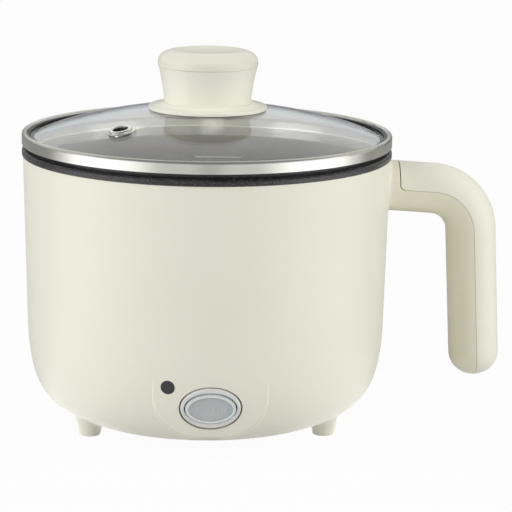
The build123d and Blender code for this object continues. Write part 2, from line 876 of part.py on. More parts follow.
def pin_plane(overshoot):
    # Plane across the tilt axis, past the lower end of the rocker's pins
    low = switch_plane.from_local_coords((0, -rocker_pin_half_length - overshoot, -rocker_depth))
    return Plane(origin=low, z_dir=switch_plane.y_dir)


with BuildPart() as switch_body:
    with BuildSketch(switch_plane.offset(-well_depth)):
        Ellipse(boot_half_width, boot_half_height)
    extrude(amount=well_depth - bezel_depth)
    with BuildSketch(switch_plane.offset(-block_depth)):
        Rectangle(block_width, block_height)
    extrude(amount=block_depth - well_depth)
    with BuildSketch(switch_plane.offset(-bezel_depth)):
        Ellipse(key_half_width + key_gap, key_half_height + key_gap)
    extrude(amount=bezel_depth - well_depth, mode=Mode.SUBTRACT)
    with BuildSketch(switch_plane.offset(-bezel_depth)):
        Rectangle(block_width - 2 * block_wall, block_height - 2 * block_wall)
    extrude(amount=bezel_depth + block_wall - block_depth, mode=Mode.SUBTRACT)
    # Bearing holes for the rocker's pins
    with BuildSketch(pin_plane(slip_gap)):
        Circle(rocker_pin_radius + touch_gap)
    extrude(amount=2 * (rocker_pin_half_length + slip_gap), mode=Mode.SUBTRACT)
write(switch_body, "switch_body")

with BuildPart() as switch_rocker:
    # Plate under the key, a stem that reaches the contacts, and the two pins
    with BuildSketch(switch_plane.offset(-key_seat_depth - rocker_plate_thickness)):
        Ellipse(key_half_width - rocker_side_inset, key_half_height - rocker_end_inset)
    extrude(amount=rocker_plate_thickness)
    with BuildSketch(switch_plane.offset(-key_seat_depth - rocker_plate_thickness)):
        Rectangle(rocker_stem_width, rocker_stem_width)
    extrude(amount=-rocker_stem_length)
    with BuildSketch(pin_plane(0)):
        Circle(rocker_pin_radius)
    extrude(amount=2 * rocker_pin_half_length)
write(switch_rocker, "switch_rocker")

with BuildPart() as rocker_key:
    with BuildSketch(switch_plane.offset(-key_seat_depth)):
        Ellipse(key_half_width, key_half_height)
    extrude(amount=key_seat_depth - boot_recess + key_rise)
    fillet(rocker_key.faces().sort_by(switch_axis)[-1].edges(), key_edge_round)
    # Dished face inside a raised rim
    with BuildSketch(switch_plane.offset(key_rise - boot_recess)):
        Ellipse(key_half_width - key_dish_side, key_half_height - key_dish_end)
    extrude(amount=-key_dish_depth, mode=Mode.SUBTRACT)
write(rocker_key, "rocker_key")

with BuildPart() as switch_boot:
    with BuildSketch(switch_plane.offset(-bezel_depth)):
        Ellipse(boot_half_width, boot_half_height)
        Ellipse(key_half_width + key_gap, key_half_height + key_gap, mode=Mode.SUBTRACT)
    extrude(amount=bezel_depth - boot_recess)
    fillet(switch_boot.faces().sort_by(switch_axis)[-1].outer_wire().edges(), boot_edge_round)
write(switch_boot, "switch_boot")

with BuildPart() as switch_lamp:
    with BuildSketch(switch_plane.offset(block_wall - block_depth)):
        Circle(lamp_radius)
    extrude(amount=lamp_length)
    fillet(switch_lamp.faces().sort_by(switch_axis)[-1].edges(), lamp_round)
write(switch_lamp, "switch_lamp")

with BuildPart() as switch_terminals:
    with BuildSketch(switch_plane.offset(-block_depth)):
        with GridLocations(blade_pitch, 0, 3, 1):
            Rectangle(blade_thickness, blade_width)
    extrude(amount=-blade_length)
write(switch_terminals, "switch_terminals")

diode_depth = block_depth + diode_setback
diode_end = switch_plane.from_local_coords((-diode_length / 2, -diode_drop, -diode_depth))
leg_end = switch_plane.from_local_coords((-blade_pitch - diode_leg_radius, -diode_drop, -diode_depth))
with BuildPart() as half_power_diode:
    with BuildSketch(Plane(origin=diode_end, z_dir=(1, 0, 0))):
        Circle(diode_radius)
    extrude(amount=diode_length)
    with BuildSketch(Plane(origin=leg_end, z_dir=(1, 0, 0))):
        Circle(diode_leg_radius)
    extrude(amount=2 * (blade_pitch + diode_leg_radius))
    for side in (-blade_pitch, blade_pitch):
        leg_foot = switch_plane.from_local_coords((side, -diode_drop, -diode_depth))
        with BuildSketch(Plane(origin=leg_foot, z_dir=switch_plane.y_dir)):
            Circle(diode_leg_radius)
        extrude(amount=diode_drop - blade_width / 2)
write(half_power_diode, "half_power_diode")

# Power inlet

with BuildPart() as inlet_housing:
    with BuildSketch(inlet_plane.offset(-inlet_flange_thickness)):
        RectangleRounded(inlet_flange_width, inlet_flange_height, inlet_flange_corner)
    extrude(amount=inlet_flange_thickness)
    with BuildSketch(inlet_plane.offset(-inlet_body_depth)):
        RectangleRounded(inlet_body_width, inlet_body_height, inlet_body_wall)
    extrude(amount=inlet_body_depth - inlet_flange_thickness)
    fillet(inlet_housing.faces().sort_by(Axis.Y)[-1].outer_wire().edges(), inlet_flange_round)
    with BuildSketch(inlet_plane):
        RectangleRounded(inlet_socket_width, inlet_socket_height, inlet_socket_corner)
    extrude(amount=-inlet_socket_depth, mode=Mode.SUBTRACT)
    with BuildSketch(inlet_plane):
        with GridLocations(inlet_screw_pitch, 0, 2, 1):
            Circle(screw_hole_radius)
    extrude(amount=-inlet_flange_thickness, mode=Mode.SUBTRACT)
    with BuildSketch(inlet_plane):
        with GridLocations(inlet_screw_pitch, 0, 2, 1):
            Circle(screw_head_radius + screw_clearance)
    extrude(amount=-inlet_screw_sink, mode=Mode.SUBTRACT)
write(inlet_housing, "inlet_housing")

with BuildPart() as inlet_pins:
    with BuildSketch(inlet_plane.offset(-inlet_socket_depth)):
        with GridLocations(blade_pitch, 0, 3, 1):
            Rectangle(inlet_pin_thickness, inlet_pin_width)
    extrude(amount=inlet_pin_length)
    chamfer(inlet_pins.faces().filter_by(Axis.Y).group_by(Axis.Y)[-1].edges(), inlet_pin_chamfer)
write(inlet_pins, "inlet_pins")

with BuildPart() as inlet_terminals:
    with BuildSketch(inlet_plane.offset(-inlet_body_depth)):
        with GridLocations(blade_pitch, 0, 3, 1):
            Rectangle(blade_thickness, blade_width)
    extrude(amount=-blade_length)
write(inlet_terminals, "inlet_terminals")

inlet_screw_length = inlet_flange_thickness + inlet_screw_bite
with BuildPart() as inlet_screws:
    for side in (-inlet_screw_pitch / 2, inlet_screw_pitch / 2):
        seat = Plane(origin=inlet_plane.from_local_coords((side, 0, -inlet_screw_sink)), z_dir=(0, 1, 0))
        add(screw(seat, screw_head_radius, screw_head_height, screw_radius, inlet_screw_length))
write(inlet_screws, "inlet_screws")

# Leads

inlet_tip = inlet_face - inlet_body_depth - blade_length
switch_tip_depth = block_depth + blade_length
switch_tip = switch_plane.from_local_coords((0, 0, -switch_tip_depth)).Y


def behind_switch(x, distance):
    # Point behind a switch terminal, in line with it
    point = switch_plane.from_local_coords((x, 0, -switch_tip_depth - distance))
    return (point.X, point.Y, point.Z)


terminal_level = element_level + element_radius - terminal_length
shelf_level = shield_level + shield_rim_height + lead_radius + lead_shelf_gap
left_terminal, right_terminal = sorted(terminal_points)

# Mains live: from the inlet, under the heat shield, to the switch's middle terminal
lead_live = lead(
    [
        (-blade_pitch, inlet_tip, inlet_level),
        (-blade_pitch, inlet_tip - 7, inlet_level),
        (-9, inlet_tip - 15, lead_level),
        (-5, 0, lead_level),
        (0, switch_tip + 21, lead_level),
        behind_switch(0, 8),
        behind_switch(0, 0),
    ],
    [4.5, 8, 30, 10, 4],
)
write(lead_live, "lead_live")

# Neutral: from the inlet over the shield's edge, up to the element
lead_neutral = lead(
    [
        (blade_pitch, inlet_tip, inlet_level),
        (blade_pitch, inlet_tip - 6, inlet_level),
        (right_terminal[0], inlet_tip - 9, shelf_level),
        (right_terminal[0], right_terminal[1], shelf_level),
        (right_terminal[0], right_terminal[1], terminal_level),
    ],
    [3, 4, 1.6],
)
write(lead_neutral, "lead_neutral")

# Switched live: from the switch round to the element's other end
lead_heater = lead(
    [
        behind_switch(-blade_pitch, 0),
        behind_switch(-blade_pitch, 7),
        (-18, switch_tip + 17, lead_level),
        (-26, 0, lead_level),
        (-24, inlet_tip - 23, lead_level + 2),
        (left_terminal[0] - 2, inlet_tip - 11, shelf_level),
        (left_terminal[0], left_terminal[1], shelf_level),
        (left_terminal[0], left_terminal[1], terminal_level),
    ],
    [4, 10, 40, 10, 5, 1.6],
)
write(lead_heater, "lead_heater")

# Earth: from the inlet up to the heater's steel ring
lead_earth = lead(
    [
        (0, inlet_tip, inlet_level),
        (0, inlet_tip - 5, inlet_level),
        (0, inlet_tip - 5, ring_level),
    ],
    [3],
)
write(lead_earth, "lead_earth")

# Handle

collar_middle = handle_root + collar_length / 2
collar_face = handle_root + collar_length
cover_face = collar_face + collar_groove
tube_start = handle_root - cut_margin / 2
bore_radius = handle_radius - handle_wall
bore_end_round = handle_end_round - handle_wall
tube_solid = handle_tube(handle_radius, tube_start, 0, handle_end_round)
tube_cavity = handle_tube(bore_radius, tube_start - handle_wall, handle_wall, bore_end_round)
inner_block = inner_side(collar_face, seam_gap / 2)
outer_block = inner_side(cover_face, -seam_gap / 2)
grip_screw_levels = (handle_end_level + grip_screw_end_gap, corner_level - grip_screw_bend_gap)
grip_centres = [(corner_x + (corner_level - level) * lean_slope, level) for level in grip_screw_levels]

with BuildPart() as inner_bore:
    # Hollow of the inner half, which leaves the collar closed
    add(tube_cavity)
    add(arm_cut(collar_face - collar_groove), mode=Mode.SUBTRACT)

with BuildPart() as handle_inner:
    # Inner half of the tube, with a full collar at its root
    add(tube_solid)
    add(arm_cut(handle_root), mode=Mode.SUBTRACT)
    add(inner_bore.part, mode=Mode.SUBTRACT)
    add(inner_block, mode=Mode.INTERSECT)
    # Tongue that reaches under the cover
    with BuildSketch(Plane(origin=(collar_middle, 0, arm_level_at(collar_middle)), z_dir=(1, 0, -arm_slope))):
        Circle(handle_radius - handle_wall - fit_gap)
        Circle(handle_radius - 2 * handle_wall, mode=Mode.SUBTRACT)
    extrude(amount=collar_length / 2 + spigot_length)
    # Bosses for the root screws
    for level in root_screw_levels:
        with BuildSketch(Plane.YZ.offset(handle_root)):
            with Locations((0, level)):
                Circle(root_boss_radius)
        extrude(amount=root_boss_length)
        with BuildSketch(Plane.YZ.offset(handle_root)):
            with Locations((0, level)):
                Circle(screw_hole_radius)
        extrude(amount=root_boss_length - root_boss_floor, mode=Mode.SUBTRACT)
    # Sunk seats for the grip screws
    for centre in grip_centres:
        start = Plane(origin=(centre[0] - handle_radius + handle_wall / 2, 0, centre[1]), z_dir=(1, 0, 0))
        with BuildSketch(start):
            Circle(grip_boss_radius + grip_boss_wall)
        extrude(amount=handle_radius - handle_wall / 2 - fit_gap)
        with BuildSketch(start.offset(-handle_wall)):
            Circle(grip_boss_radius + touch_gap)
        extrude(amount=handle_radius + handle_wall / 2 - grip_seat_depth, mode=Mode.SUBTRACT)
        with BuildSketch(start):
            Circle(screw_hole_radius)
        extrude(amount=handle_radius, mode=Mode.SUBTRACT)
write(handle_inner, "handle_inner")

with BuildPart() as grip_plugs:
    # Press-in caps over the grip screws, flush with the tube
    for centre in grip_centres:
        start = Plane(origin=(centre[0] - handle_radius + handle_wall, 0, centre[1]), z_dir=(-1, 0, 0))
        with BuildSketch(start):
            Circle(grip_boss_radius)
        extrude(amount=handle_wall * 2)
    add(tube_solid, mode=Mode.INTERSECT)
write(grip_plugs, "grip_plugs")

with BuildPart() as handle_outer:
    # Outer half of the tube, which starts after the groove
    add(tube_solid)
    add(tube_cavity, mode=Mode.SUBTRACT)
    add(outer_block, mode=Mode.SUBTRACT)
    for centre in grip_centres:
        start = Plane(origin=(centre[0] + fit_gap, 0, centre[1]), z_dir=(1, 0, 0))
        with BuildSketch(start):
            Circle(grip_boss_radius)
        extrude(amount=handle_radius - handle_wall / 2)
        with BuildSketch(start):
            Circle(screw_hole_radius)
        extrude(amount=grip_screw_bite, mode=Mode.SUBTRACT)
write(handle_outer, "handle_outer")

with BuildPart() as handle_screws:
    for level in root_screw_levels:
        seat = Plane(origin=(handle_root - root_seat_depth, 0, level), z_dir=(-1, 0, 0))
        add(screw(seat, screw_head_radius, screw_head_height, screw_radius, root_screw_length))
write(handle_screws, "handle_screws")

grip_screw_length = grip_seat_depth + grip_screw_bite - grip_screw_end_play
with BuildPart() as grip_screws:
    for centre in grip_centres:
        seat = Plane(origin=(centre[0] - grip_seat_depth, 0, centre[1]), z_dir=(-1, 0, 0))
        add(screw(seat, screw_head_radius, screw_head_height, screw_radius, grip_screw_length))
write(grip_screws, "grip_screws")

# Lid rim and glass

band_level = pot_rim_top + rim_shadow_gap
skirt_level = pot_seat_level + lid_seat_gap
skirt_radius = lid_seat_radius - lid_skirt_clearance
plug_level = skirt_level - lid_plug_depth
plug_radius = pot_top_radius - lid_skirt_clearance
glass_level = band_level + band_sheet
glass_edge_level = glass_level + glass_thickness
bead_level = glass_edge_level + bead_lift
glass_edge_radius = band_radius - band_sheet - glass_edge_gap
dome_edge_radius = glass_edge_radius - glass_flat_width
dome_radius = (dome_edge_radius**2 + glass_rise**2) / (2 * glass_rise)
dome_top = glass_edge_level + glass_rise
dome_underside = dome_top - glass_thickness
dome_centre = dome_top - dome_radius


def dome_level(radius, offset=0.0):
    # Level of the glass's upper face, or of a face that follows it at an offset
    return dome_centre + sqrt((dome_radius + offset) ** 2 - radius**2)


def dome_reach(level, offset):
    # Radius at which a face that follows the glass crosses a level
    return sqrt((dome_radius + offset) ** 2 - (level - dome_centre) ** 2)


vent_level = dome_level(sqrt(vent_x**2 + vent_y**2))
vent_plane = Plane(origin=(vent_x, vent_y, vent_level), z_dir=(vent_x, vent_y, vent_level - dome_centre))

with BuildPart() as lid_rim:
    with BuildSketch(Plane.XZ):
        with BuildLine():
            Line((band_radius, band_level), (band_radius, bead_level))
            ThreePointArc(
                (band_radius, bead_level),
                (band_radius - bead_round, bead_level + bead_round),
                (band_radius - 2 * bead_round, bead_level),
            )
            Polyline(
                (band_radius - 2 * bead_round, bead_level),
                (band_radius - 2 * bead_round, glass_edge_level),
                (band_radius - band_sheet, glass_edge_level),
                (band_radius - band_sheet, glass_level),
                (skirt_radius - band_sheet, glass_level),
                (skirt_radius - band_sheet, skirt_level + band_sheet),
                (plug_radius - band_sheet, skirt_level + band_sheet),
                (plug_radius - band_sheet, plug_level),
                (plug_radius, plug_level),
                (plug_radius, skirt_level),
                (skirt_radius, skirt_level),
                (skirt_radius, band_level),
                (band_radius, band_level),
            )
        make_face()
    revolve(axis=Axis.Z)
    fillet(circles_of(lid_rim, plug_radius - band_sheet), lid_plug_round)
write(lid_rim, "lid_rim")

# Seal between the rim's bead and the flat edge of the glass
seal_radius = band_radius - 2 * bead_round - touch_gap
with BuildPart() as glass_seal:
    with BuildSketch(Plane.XY.offset(glass_edge_level + touch_gap)):
        Circle(seal_radius)
        Circle(seal_radius - glass_seal_width, mode=Mode.SUBTRACT)
    extrude(amount=glass_seal_height)
    fillet(circles_of(glass_seal, seal_radius - glass_seal_width)[-1], glass_seal_round)
write(glass_seal, "glass_seal")

with BuildPart() as lid_glass:
    with BuildSketch(Plane.XZ):
        with BuildLine():
            underside_reach = dome_reach(glass_level, -glass_thickness)
            RadiusArc((0, dome_top), (dome_edge_radius, glass_edge_level), dome_radius)
            RadiusArc((0, dome_underside), (underside_reach, glass_level), dome_radius - glass_thickness)
            Polyline(
                (dome_edge_radius, glass_edge_level),
                (glass_edge_radius, glass_edge_level),
                (glass_edge_radius, glass_level),
                (underside_reach, glass_level),
            )
            Line((0, dome_top), (0, dome_underside))
        make_face()
    revolve(axis=Axis.Z)
    with BuildSketch(Plane.XY.offset(dome_top)):
        Circle(knob_hole_radius)
    extrude(amount=-2 * glass_thickness, mode=Mode.SUBTRACT)
    with BuildSketch(vent_plane.offset(glass_thickness)):
        Circle(vent_hole_radius + vent_sleeve_wall + 2 * touch_gap)
    extrude(amount=-3 * glass_thickness, mode=Mode.SUBTRACT)
write(lid_glass, "lid_glass")

with BuildPart() as vent_eyelet:
    # Pressed steel eyelet: rolled collar above the glass, flat flare below it
    with BuildSketch(vent_plane.offset(-glass_thickness - vent_sleeve_wall - touch_gap)):
        Circle(vent_hole_radius + vent_sleeve_wall)
    extrude(amount=glass_thickness + vent_sleeve_wall + vent_collar_height)
    with BuildSketch(vent_plane.offset(-glass_thickness - vent_sleeve_wall - touch_gap * 2)):
        Circle(vent_hole_radius + vent_flare_width)
    extrude(amount=vent_sleeve_wall)
    with BuildSketch(vent_plane.offset(touch_gap * 2)):
        Circle(vent_outer_radius)
    extrude(amount=vent_collar_height - 3 * touch_gap)
    with BuildSketch(vent_plane.offset(-glass_thickness * 2)):
        Circle(vent_hole_radius)
    extrude(amount=glass_thickness * 4, mode=Mode.SUBTRACT)
    fillet(circles_of(vent_eyelet, vent_outer_radius)[-1], vent_collar_round)
    fillet(circles_of(vent_eyelet, vent_hole_radius)[-1], vent_mouth_round)
write(vent_eyelet, "vent_eyelet")

# Lid knob

base_top = dome_top + knob_base_height
base_top_radius = knob_neck_radius + knob_foot_gap
pocket_radius = gasket_radius + slip_gap
pocket_offset = gasket_thickness + 3 * touch_gap
lip_level = dome_level(knob_base_radius, slip_gap)
lip_top = lip_level + knob_base_edge
with BuildPart() as knob_base:
    with BuildSketch(Plane.XZ):
        with BuildLine():
            lip = RadiusArc(
                (pocket_radius, dome_level(pocket_radius, slip_gap)),
                (knob_base_radius, lip_level),
                dome_radius + slip_gap,
            )
            Line(lip @ 1, (knob_base_radius, lip_top))
            RadiusArc((knob_base_radius, lip_top), (base_top_radius, base_top), knob_base_arc)
            Polyline(
                (base_top_radius, base_top),
                (0, base_top),
                (0, dome_level(0, pocket_offset)),
            )
            pocket = RadiusArc(
                (0, dome_level(0, pocket_offset)),
                (pocket_radius, dome_level(pocket_radius, pocket_offset)),
                dome_radius + pocket_offset,
            )
            Line(pocket @ 1, lip @ 0)
        make_face()
    revolve(axis=Axis.Z)
    # Spigot that centres the knob in the hole of the glass
    with BuildSketch(Plane.XY.offset(base_top)):
        Circle(knob_hole_radius - 2 * touch_gap)
    extrude(amount=dome_underside + knob_base_round - base_top)
    with BuildSketch(Plane.XY.offset(base_top)):
        Circle(knob_bore_radius)
    extrude(amount=dome_underside - base_top, mode=Mode.SUBTRACT)
    fillet(circles_of(knob_base, knob_base_radius)[-1], knob_base_round)
write(knob_base, "knob_base")

gasket_start = knob_hole_radius + slip_gap
with BuildPart() as knob_gasket:
    with BuildSketch(Plane.XZ):
        with BuildLine():
            low = RadiusArc(
                (gasket_start, dome_level(gasket_start, touch_gap)),
                (gasket_radius, dome_level(gasket_radius, touch_gap)),
                dome_radius + touch_gap,
            )
            high = RadiusArc(
                (gasket_start, dome_level(gasket_start, gasket_thickness)),
                (gasket_radius, dome_level(gasket_radius, gasket_thickness)),
                dome_radius + gasket_thickness,
            )
            Line(low @ 0, high @ 0)
            Line(low @ 1, high @ 1)
        make_face()
    revolve(axis=Axis.Z)
write(knob_gasket, "knob_gasket")

body_top = base_top + knob_body_height
with BuildPart() as knob_body:
    with BuildSketch(Plane.XZ):
        with BuildLine():
            Line((0, base_top), (knob_neck_radius, base_top))
            side = RadiusArc((knob_neck_radius, base_top), (knob_shoulder_radius, body_top), knob_body_arc)
            Polyline(
                side @ 1,
                (knob_shoulder_radius - knob_shell, body_top),
                (knob_neck_radius - knob_shell, base_top + knob_shell),
                (knob_post_radius, base_top + knob_shell),
                (knob_post_radius, body_top - knob_post_drop),
                (0, body_top - knob_post_drop),
                (0, base_top),
            )
        make_face()
    revolve(axis=Axis.Z)
    with BuildSketch(Plane.XY.offset(base_top)):
        Circle(knob_bore_radius)
    extrude(amount=knob_body_height - knob_floor, mode=Mode.SUBTRACT)
    chamfer(circles_of(knob_body, knob_shoulder_radius)[-1], knob_body_chamfer)
write(knob_body, "knob_body")

cap_top = body_top + knob_cap_height
dish_radius = (knob_top_radius**2 + knob_dish**2) / (2 * knob_dish)
cap_bottom = body_top + knob_cap_gap
cap_spigot_radius = knob_shoulder_radius - knob_shell - fit_gap * 2
cap_spigot_end = body_top - knob_spigot_depth
with BuildPart() as knob_cap:
    with BuildSketch(Plane.XZ):
        with BuildLine():
            Line((knob_cap_radius, cap_bottom), (knob_cap_radius, body_top + knob_cap_straight))
            EllipticalCenterArc(
                (knob_top_radius, body_top + knob_cap_straight),
                knob_cap_radius - knob_top_radius,
                knob_cap_height - knob_cap_straight,
                start_angle=0,
                arc_size=90,
            )
            RadiusArc((knob_top_radius, cap_top), (0, cap_top - knob_dish), dish_radius)
            Polyline(
                (0, cap_top - knob_dish),
                (0, cap_top - knob_dish - knob_shell),
                (knob_top_radius, cap_top - knob_dish - knob_shell),
                (cap_spigot_radius - knob_spigot_wall, body_top),
                (cap_spigot_radius - knob_spigot_wall, cap_spigot_end),
                (cap_spigot_radius, cap_spigot_end),
                (cap_spigot_radius, cap_bottom),
                (knob_cap_radius, cap_bottom),
            )
        make_face()
    revolve(axis=Axis.Z)
write(knob_cap, "knob_cap")

washer_top = dome_level(washer_radius, -glass_thickness - touch_gap)
with BuildPart() as knob_washer:
    with BuildSketch(Plane.XY.offset(washer_top - washer_thickness)):
        Circle(washer_radius)
        Circle(knob_bore_radius, mode=Mode.SUBTRACT)
    extrude(amount=washer_thickness)
    fillet(knob_washer.faces().sort_by(Axis.Z)[0].outer_wire().edges(), washer_round)
write(knob_washer, "knob_washer")

knob_screw_seat = Plane(origin=(0, 0, washer_top - washer_thickness), z_dir=(0, 0, -1))
knob_screw_length = body_top - knob_screw_end_gap - knob_screw_seat.origin.Z
with BuildPart() as knob_screw:
    add(
        screw(
            knob_screw_seat,
            knob_screw_head_radius,
            knob_screw_head_height,
            knob_screw_radius,
            knob_screw_length,
        )
    )
write(knob_screw, "knob_screw")
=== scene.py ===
import json
import math

import bmesh
import bpy
import numpy as np
from mathutils import Matrix, Vector
from mathutils.bvhtree import BVHTree


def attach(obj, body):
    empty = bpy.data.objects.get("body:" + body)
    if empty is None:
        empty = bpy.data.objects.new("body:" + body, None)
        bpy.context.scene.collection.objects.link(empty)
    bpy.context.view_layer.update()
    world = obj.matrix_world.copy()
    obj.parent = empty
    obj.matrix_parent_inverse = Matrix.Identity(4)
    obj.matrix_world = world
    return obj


# Electric hot pot with a glass lid: its finishes, the small printed and moulded details, and the
# studio around it. Metres, Z up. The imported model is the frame: nothing here moves or resizes it.

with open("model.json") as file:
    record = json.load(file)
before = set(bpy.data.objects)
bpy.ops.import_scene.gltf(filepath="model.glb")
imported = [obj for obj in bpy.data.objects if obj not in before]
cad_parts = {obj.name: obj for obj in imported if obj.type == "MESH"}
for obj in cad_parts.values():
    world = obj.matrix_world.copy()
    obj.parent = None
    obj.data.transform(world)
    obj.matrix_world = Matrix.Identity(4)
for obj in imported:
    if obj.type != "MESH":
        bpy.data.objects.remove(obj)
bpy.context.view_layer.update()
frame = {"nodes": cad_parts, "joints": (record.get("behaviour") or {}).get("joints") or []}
nodes = frame["nodes"]
mm = 0.001
print("frame loaded:", len(nodes), "nodes")


# Shader nodes

def rgb(red, green, blue):
    return (red, green, blue, 1.0)


def feed(tree, socket, value):
    # One input: linked to another node's socket, or set to a plain value
    if isinstance(value, bpy.types.NodeSocket):
        tree.links.new(value, socket)
    else:
        socket.default_value = value


def feedAll(tree, node, values):
    # Several inputs by name; an underscore in a name stands for a space
    for label, value in values.items():
        feed(tree, node.inputs[label.replace("_", " ")], value)
    return node


def addNode(tree, kind, **values):
    # A shader node with the inputs given
    return feedAll(tree, tree.nodes.new("ShaderNode" + kind), values)


def useGroup(tree, group, **values):
    # A node group put to use with the inputs given
    made = tree.nodes.new("ShaderNodeGroup")
    made.node_tree = group
    return feedAll(tree, made, values)


def addMath(tree, operation, first, second=0.0):
    # A math node on sockets or plain numbers
    made = tree.nodes.new("ShaderNodeMath")
    made.operation = operation
    feed(tree, made.inputs[0], first)
    feed(tree, made.inputs[1], second)
    return made.outputs[0]


def addProduct(tree, first, *others):
    # Several values multiplied
    for other in others:
        first = addMath(tree, "MULTIPLY", first, other)
    return first


def addVectorMath(tree, operation, *vectors, **values):
    # A vector math node: its vectors in order, its other inputs by name
    made = tree.nodes.new("ShaderNodeVectorMath")
    made.operation = operation
    for socket, vector in zip(made.inputs, vectors):
        feed(tree, socket, vector)
    return feedAll(tree, made, values).outputs[0]


def addRange(tree, value, fromLow, fromHigh, toLow, toHigh):
    # A value stretched from one range to another and clamped there
    made = addNode(
        tree, "MapRange",
        Value=value, From_Min=fromLow, From_Max=fromHigh, To_Min=toLow, To_Max=toHigh,
    )
    return made.outputs["Result"]


def addMix(tree, share, first, second):
    # Two colours mixed by a share; a colour mix has its share at input 0, its colours at 6 and 7
    made = tree.nodes.new("ShaderNodeMix")
    made.data_type = "RGBA"
    for position, value in ((0, share), (6, first), (7, second)):
        feed(tree, made.inputs[position], value)
    return made.outputs[2]


def addShaderMix(tree, share, first, second):
    # Two shaders mixed by a share
    made = tree.nodes.new("ShaderNodeMixShader")
    for socket, value in zip(made.inputs, (share, first, second)):
        feed(tree, socket, value)
    return made.outputs[0]


# Node groups that several finishes share

def newGroup(name, inputs, outputs):
    # A node group with named inputs and outputs; each input is (label, kind, first value)
    group = bpy.data.node_groups.new(name, "ShaderNodeTree")
    for label, kind, value in inputs:
        socket = group.interface.new_socket(label, in_out="INPUT", socket_type=kind)
        socket.default_value = value
    for label, kind in outputs:
        group.interface.new_socket(label, in_out="OUTPUT", socket_type=kind)
    return group, group.nodes.new("NodeGroupInput"), group.nodes.new("NodeGroupOutput")


def scaledPlace(tree, size):
    # Object coordinates divided by a size in metres
    place = addNode(tree, "TexCoord").outputs["Object"]
    return addVectorMath(tree, "SCALE", place, Scale=addMath(tree, "DIVIDE", 1.0, size))


def makeGrainGroup():
    # Spark-eroded mould texture: height = pit share x distance to the nearest pit + finer noise
    group, start, end = newGroup(
        "Moulded Grain",
        [("Grain Size", "NodeSocketFloat", 0.0005), ("Pit Share", "NodeSocketFloat", 0.6)],
        [("Height", "NodeSocketFloat")],
    )
    place = scaledPlace(group, start.outputs["Grain Size"])
    pits = addNode(group, "TexVoronoi", Vector=place, Scale=1.0, Randomness=1.0)
    pits.feature = "SMOOTH_F1"
    fine = addNode(group, "TexNoise", Vector=place, Scale=2.2, Detail=3.0, Roughness=0.6)
    low = addMath(group, "MULTIPLY", pits.outputs["Distance"], start.outputs["Pit Share"])
    feed(group, end.inputs["Height"], addMath(group, "ADD", low, fine.outputs["Fac"]))
    return group


def makeToneGroup():
    # Slow drift between two close colours with a finer mottle on top: mask = the part of
    # slow noise + mottle share x quick noise that lies above the mask's start
    mottleShare, maskStart = 0.45, 0.45
    group, start, end = newGroup(
        "Tone Drift",
        [
            ("Colour", "NodeSocketColor", rgb(0.8, 0.8, 0.8)),
            ("Other Colour", "NodeSocketColor", rgb(0.7, 0.7, 0.7)),
            ("Patch Size", "NodeSocketFloat", 0.03),
        ],
        [("Colour", "NodeSocketColor"), ("Mask", "NodeSocketFloat")],
    )
    place = scaledPlace(group, start.outputs["Patch Size"])
    slow = addNode(group, "TexNoise", Vector=place, Scale=1.0, Detail=2.0, Roughness=0.5)
    quick = addNode(group, "TexNoise", Vector=place, Scale=14.0, Detail=4.0, Roughness=0.65)
    mottle = addMath(group, "MULTIPLY", quick.outputs["Fac"], mottleShare)
    both = addMath(group, "ADD", slow.outputs["Fac"], mottle)
    mask = addRange(group, both, maskStart, 1.0, 0.0, 1.0)
    colour = addMix(group, mask, start.outputs["Colour"], start.outputs["Other Colour"])
    feedAll(group, end, {"Colour": colour, "Mask": mask})
    return group


def makeSpeckGroup():
    # Stone-look coating: a base colour with scattered light and dark specks. A speck fills its
    # cell out to its radius, and the light ones stand up by their relief over soft noise
    speckRadius, speckRelief = 0.38, 0.5
    group, start, end = newGroup(
        "Coating Specks",
        [
            ("Base", "NodeSocketColor", rgb(0.03, 0.03, 0.03)),
            ("Light Speck", "NodeSocketColor", rgb(0.3, 0.3, 0.3)),
            ("Dark Speck", "NodeSocketColor", rgb(0.01, 0.01, 0.01)),
            ("Speck Size", "NodeSocketFloat", 0.0008),
            ("Speck Share", "NodeSocketFloat", 0.1),
        ],
        [("Colour", "NodeSocketColor"), ("Height", "NodeSocketFloat")],
    )
    share = start.outputs["Speck Share"]
    place = scaledPlace(group, start.outputs["Speck Size"])
    cells = addNode(group, "TexVoronoi", Vector=place, Scale=1.0, Randomness=1.0)
    draw = addNode(group, "SeparateColor", Color=cells.outputs["Color"])
    spot = addMath(group, "LESS_THAN", cells.outputs["Distance"], speckRadius)
    light = addProduct(group, spot, addMath(group, "LESS_THAN", draw.outputs[0], share))
    dark = addProduct(group, spot, addMath(group, "LESS_THAN", draw.outputs[1], share))
    darkened = addMix(group, dark, start.outputs["Base"], start.outputs["Dark Speck"])
    colour = addMix(group, light, darkened, start.outputs["Light Speck"])
    soft = addNode(group, "TexNoise", Vector=place, Scale=0.9, Detail=3.0, Roughness=0.7)
    raised = addMath(group, "MULTIPLY", light, speckRelief)
    height = addMath(group, "ADD", soft.outputs["Fac"], raised)
    feedAll(group, end, {"Colour": colour, "Height": height})
    return group


